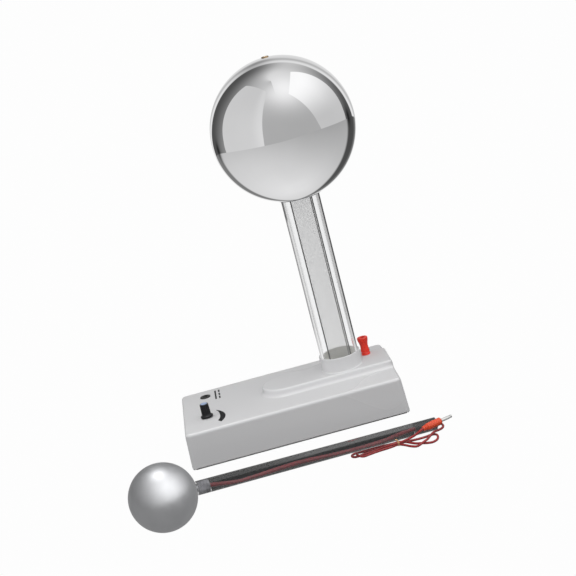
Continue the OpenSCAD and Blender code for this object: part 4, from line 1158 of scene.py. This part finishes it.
def make_wand():
    fr = place(BALL_C, HAND_U)
    a_hi = math.degrees(math.acos(3.05 / BALL_R))
    prof = arc(0, 0, BALL_R, -90, a_hi, 140)
    prof[0] = (0.0, -BALL_R)
    inner = arc(0, 0, BALL_R - 1.2, math.degrees(math.acos(3.05 / (BALL_R - 1.2))), -90, 60)
    inner[-1] = (0.0, -(BALL_R - 1.2))
    ob = lathe("ball_satin", prof + inner, "wand", MAT["ball"], 256, fr, smooth=35)
    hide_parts("discharge_ball")
    # stud: hex nut inside the ball, neck, and the knurled spigot in the handle's bore
    def hexed(th, r, z):
        if r > 5.2 and z < 35.2:
            k = (th + math.pi / 6) % (math.pi / 3) - math.pi / 6
            return r * math.cos(math.pi / 6) / np.cos(k)
        if 39.0 < z < 51.0 and r > 5.0:
            return r - 0.35 * (0.5 + 0.5 * np.cos(th * 30 + z * 1.4))
        return r * np.ones_like(th)

    prof = [(0.0, 26.0), (2.7, 26.0), (3.0, 26.4), (3.0, 30.6), (5.5, 30.6), (5.5, 35.0), (3.0, 35.0), (3.0, 38.3), (5.1, 38.3), (5.45, 38.6)]
    prof += [(5.45, 38.6 + 0.6 * i) for i in range(1, 20)] + [(5.2, 51.2), (3.4, 51.35), (2.0, 51.4), (1.6, 51.9), (0.0, 52.0)]
    ob = lathe("stud_and_ferrule", prof, "wand", MAT["stud"], 180, fr, shape=hexed, smooth=35)
    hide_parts("ball_stud")
    s0, s1 = 37.6, HAND_L
    ro, ri = 7.25, 5.5
    prof = [(ri + 0.2, s0), (ro + 0.3, s0), (ro + 0.55, s0 + 0.25), (ro, s1 - 0.3), (ro - 0.3, s1), (ri + 0.25, s1), (ri, s1 - 0.25), (ri, s0 + 0.2)]
    long = []
    for (r0, z0), (r1, z1) in zip(prof, prof[1:] + prof[:1]):
        n = 30 if abs(z1 - z0) > 50 else 1
        long += [(r0 + (r1 - r0) * i / n, z0 + (z1 - z0) * i / n) for i in range(n)]
    ob = lathe("handle_clear", long, "wand", MAT["handle"], 144, fr, closed=True, smooth=30)
    ob.data.materials.append(MAT["bore"])
    for f in ob.data.polygons:
        d = np.array(f.center) / MM - BALL_C
        if np.linalg.norm(d - (d @ HAND_U) * HAND_U) < ri + 0.05:
            f.material_index = 1
    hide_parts("handle_tube")
    prof = [(1.38, s1 - 26.0), (5.2, s1 - 26.0), (5.46, s1 - 25.7), (5.46, s1 - 0.5), (5.2, s1 - 0.1), (1.9, s1 - 0.1), (1.4, s1 - 0.5)]
    ob = lathe("handle_bung", prof[::-1][::-1], "wand", MAT["grommet"], 96, fr, closed=True, smooth=35)
    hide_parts("handle_grommet")
    # lead inside the handle, in the same lazy wave as its solid
    # painted shade: the black sheet in the handle's bore
    make_liner(s1)
    yaw = math.atan2(HAND_U[1], HAND_U[0])
    dip = -math.asin(HAND_U[2])
    ry = np.array([[math.cos(dip), 0, math.sin(dip)], [0, 1, 0], [-math.sin(dip), 0, math.cos(dip)]])
    rz = np.array([[math.cos(yaw), -math.sin(yaw), 0], [math.sin(yaw), math.cos(yaw), 0], [0, 0, 1]])
    a0 = 51.9
    pts = []
    for i in range(27):
        s = a0 + (s1 - a0) * i / 26
        w = max(min(1.0, min(s - a0 + 2, s1 - 34 - s) / 30), 0.0)
        pts.append(rz @ ry @ np.array([s, 1.1 * w * math.sin(math.radians(s * 3.1)), -2.3 * w + 0.6 * w * math.cos(math.radians(s * 2.3))]) + BALL_C)
    pts = spline_points(pts, 3.0)
    # painted shade: this length of the lead takes the darker copy of its red
    ob = curve_object("lead_in_handle", pts, 1.5, "wand", MAT["lead_in_tube"])
    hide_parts("handle_lead")


make_wand()

# ------------------------------------------------------------------ finish of the nodes that stay
KEPT = {
    "bottom_cover": "cover", "rubber_feet": "foot", "cover_screws": "screw", "frame_screws": "screw", "motor_can": "steel", "motor_end_cap": "white",
    "motor_magnets": "magnet", "motor_bracket": "bracket", "bearing_stand": "stand", "outboard_bush": "brass", "lower_comb": "brass", "comb_bracket": "bracket",
    "control_board": "board", "driver_transistor": "component", "board_capacitor": "capacitor", "speed_pot": "tinned", "pot_nut": "screw", "dc_jack_nut": "screw",
    "dc_jack_pin": "pin", "terminal_stud": "brass", "terminal_nut": "brass", "solder_tag": "tinned", "motor_leads": "wire", "supply_leads": "wire",
    "earth_lead": "green", "head_block": "white", "contact_ring": "brass", "upper_bushes": "brass", "upper_comb": "brass", "motor_shaft": "shaft",
    "motor_armature": "armature", "lower_roller": "nylon", "upper_axle": "shaft", "upper_roller": "acrylic", "pot_shaft": "shaft", "terminal_insert": "brass",
    "dome_collar": "collar", "socket_nut": "brass",
}
for name, key in KEPT.items():
    ob = frame["nodes"][name]
    if not ob.material_slots:
        ob.data.materials.append(MAT[key])
    for s in ob.material_slots:
        s.material = MAT[key]

# the studio's mirror picture is of the studio alone
for ob in scene.objects:
    if ob.type in ("MESH", "CURVE") and not ob.name.startswith(("dome", "floor", "card")):
        ob.visible_glossy = False
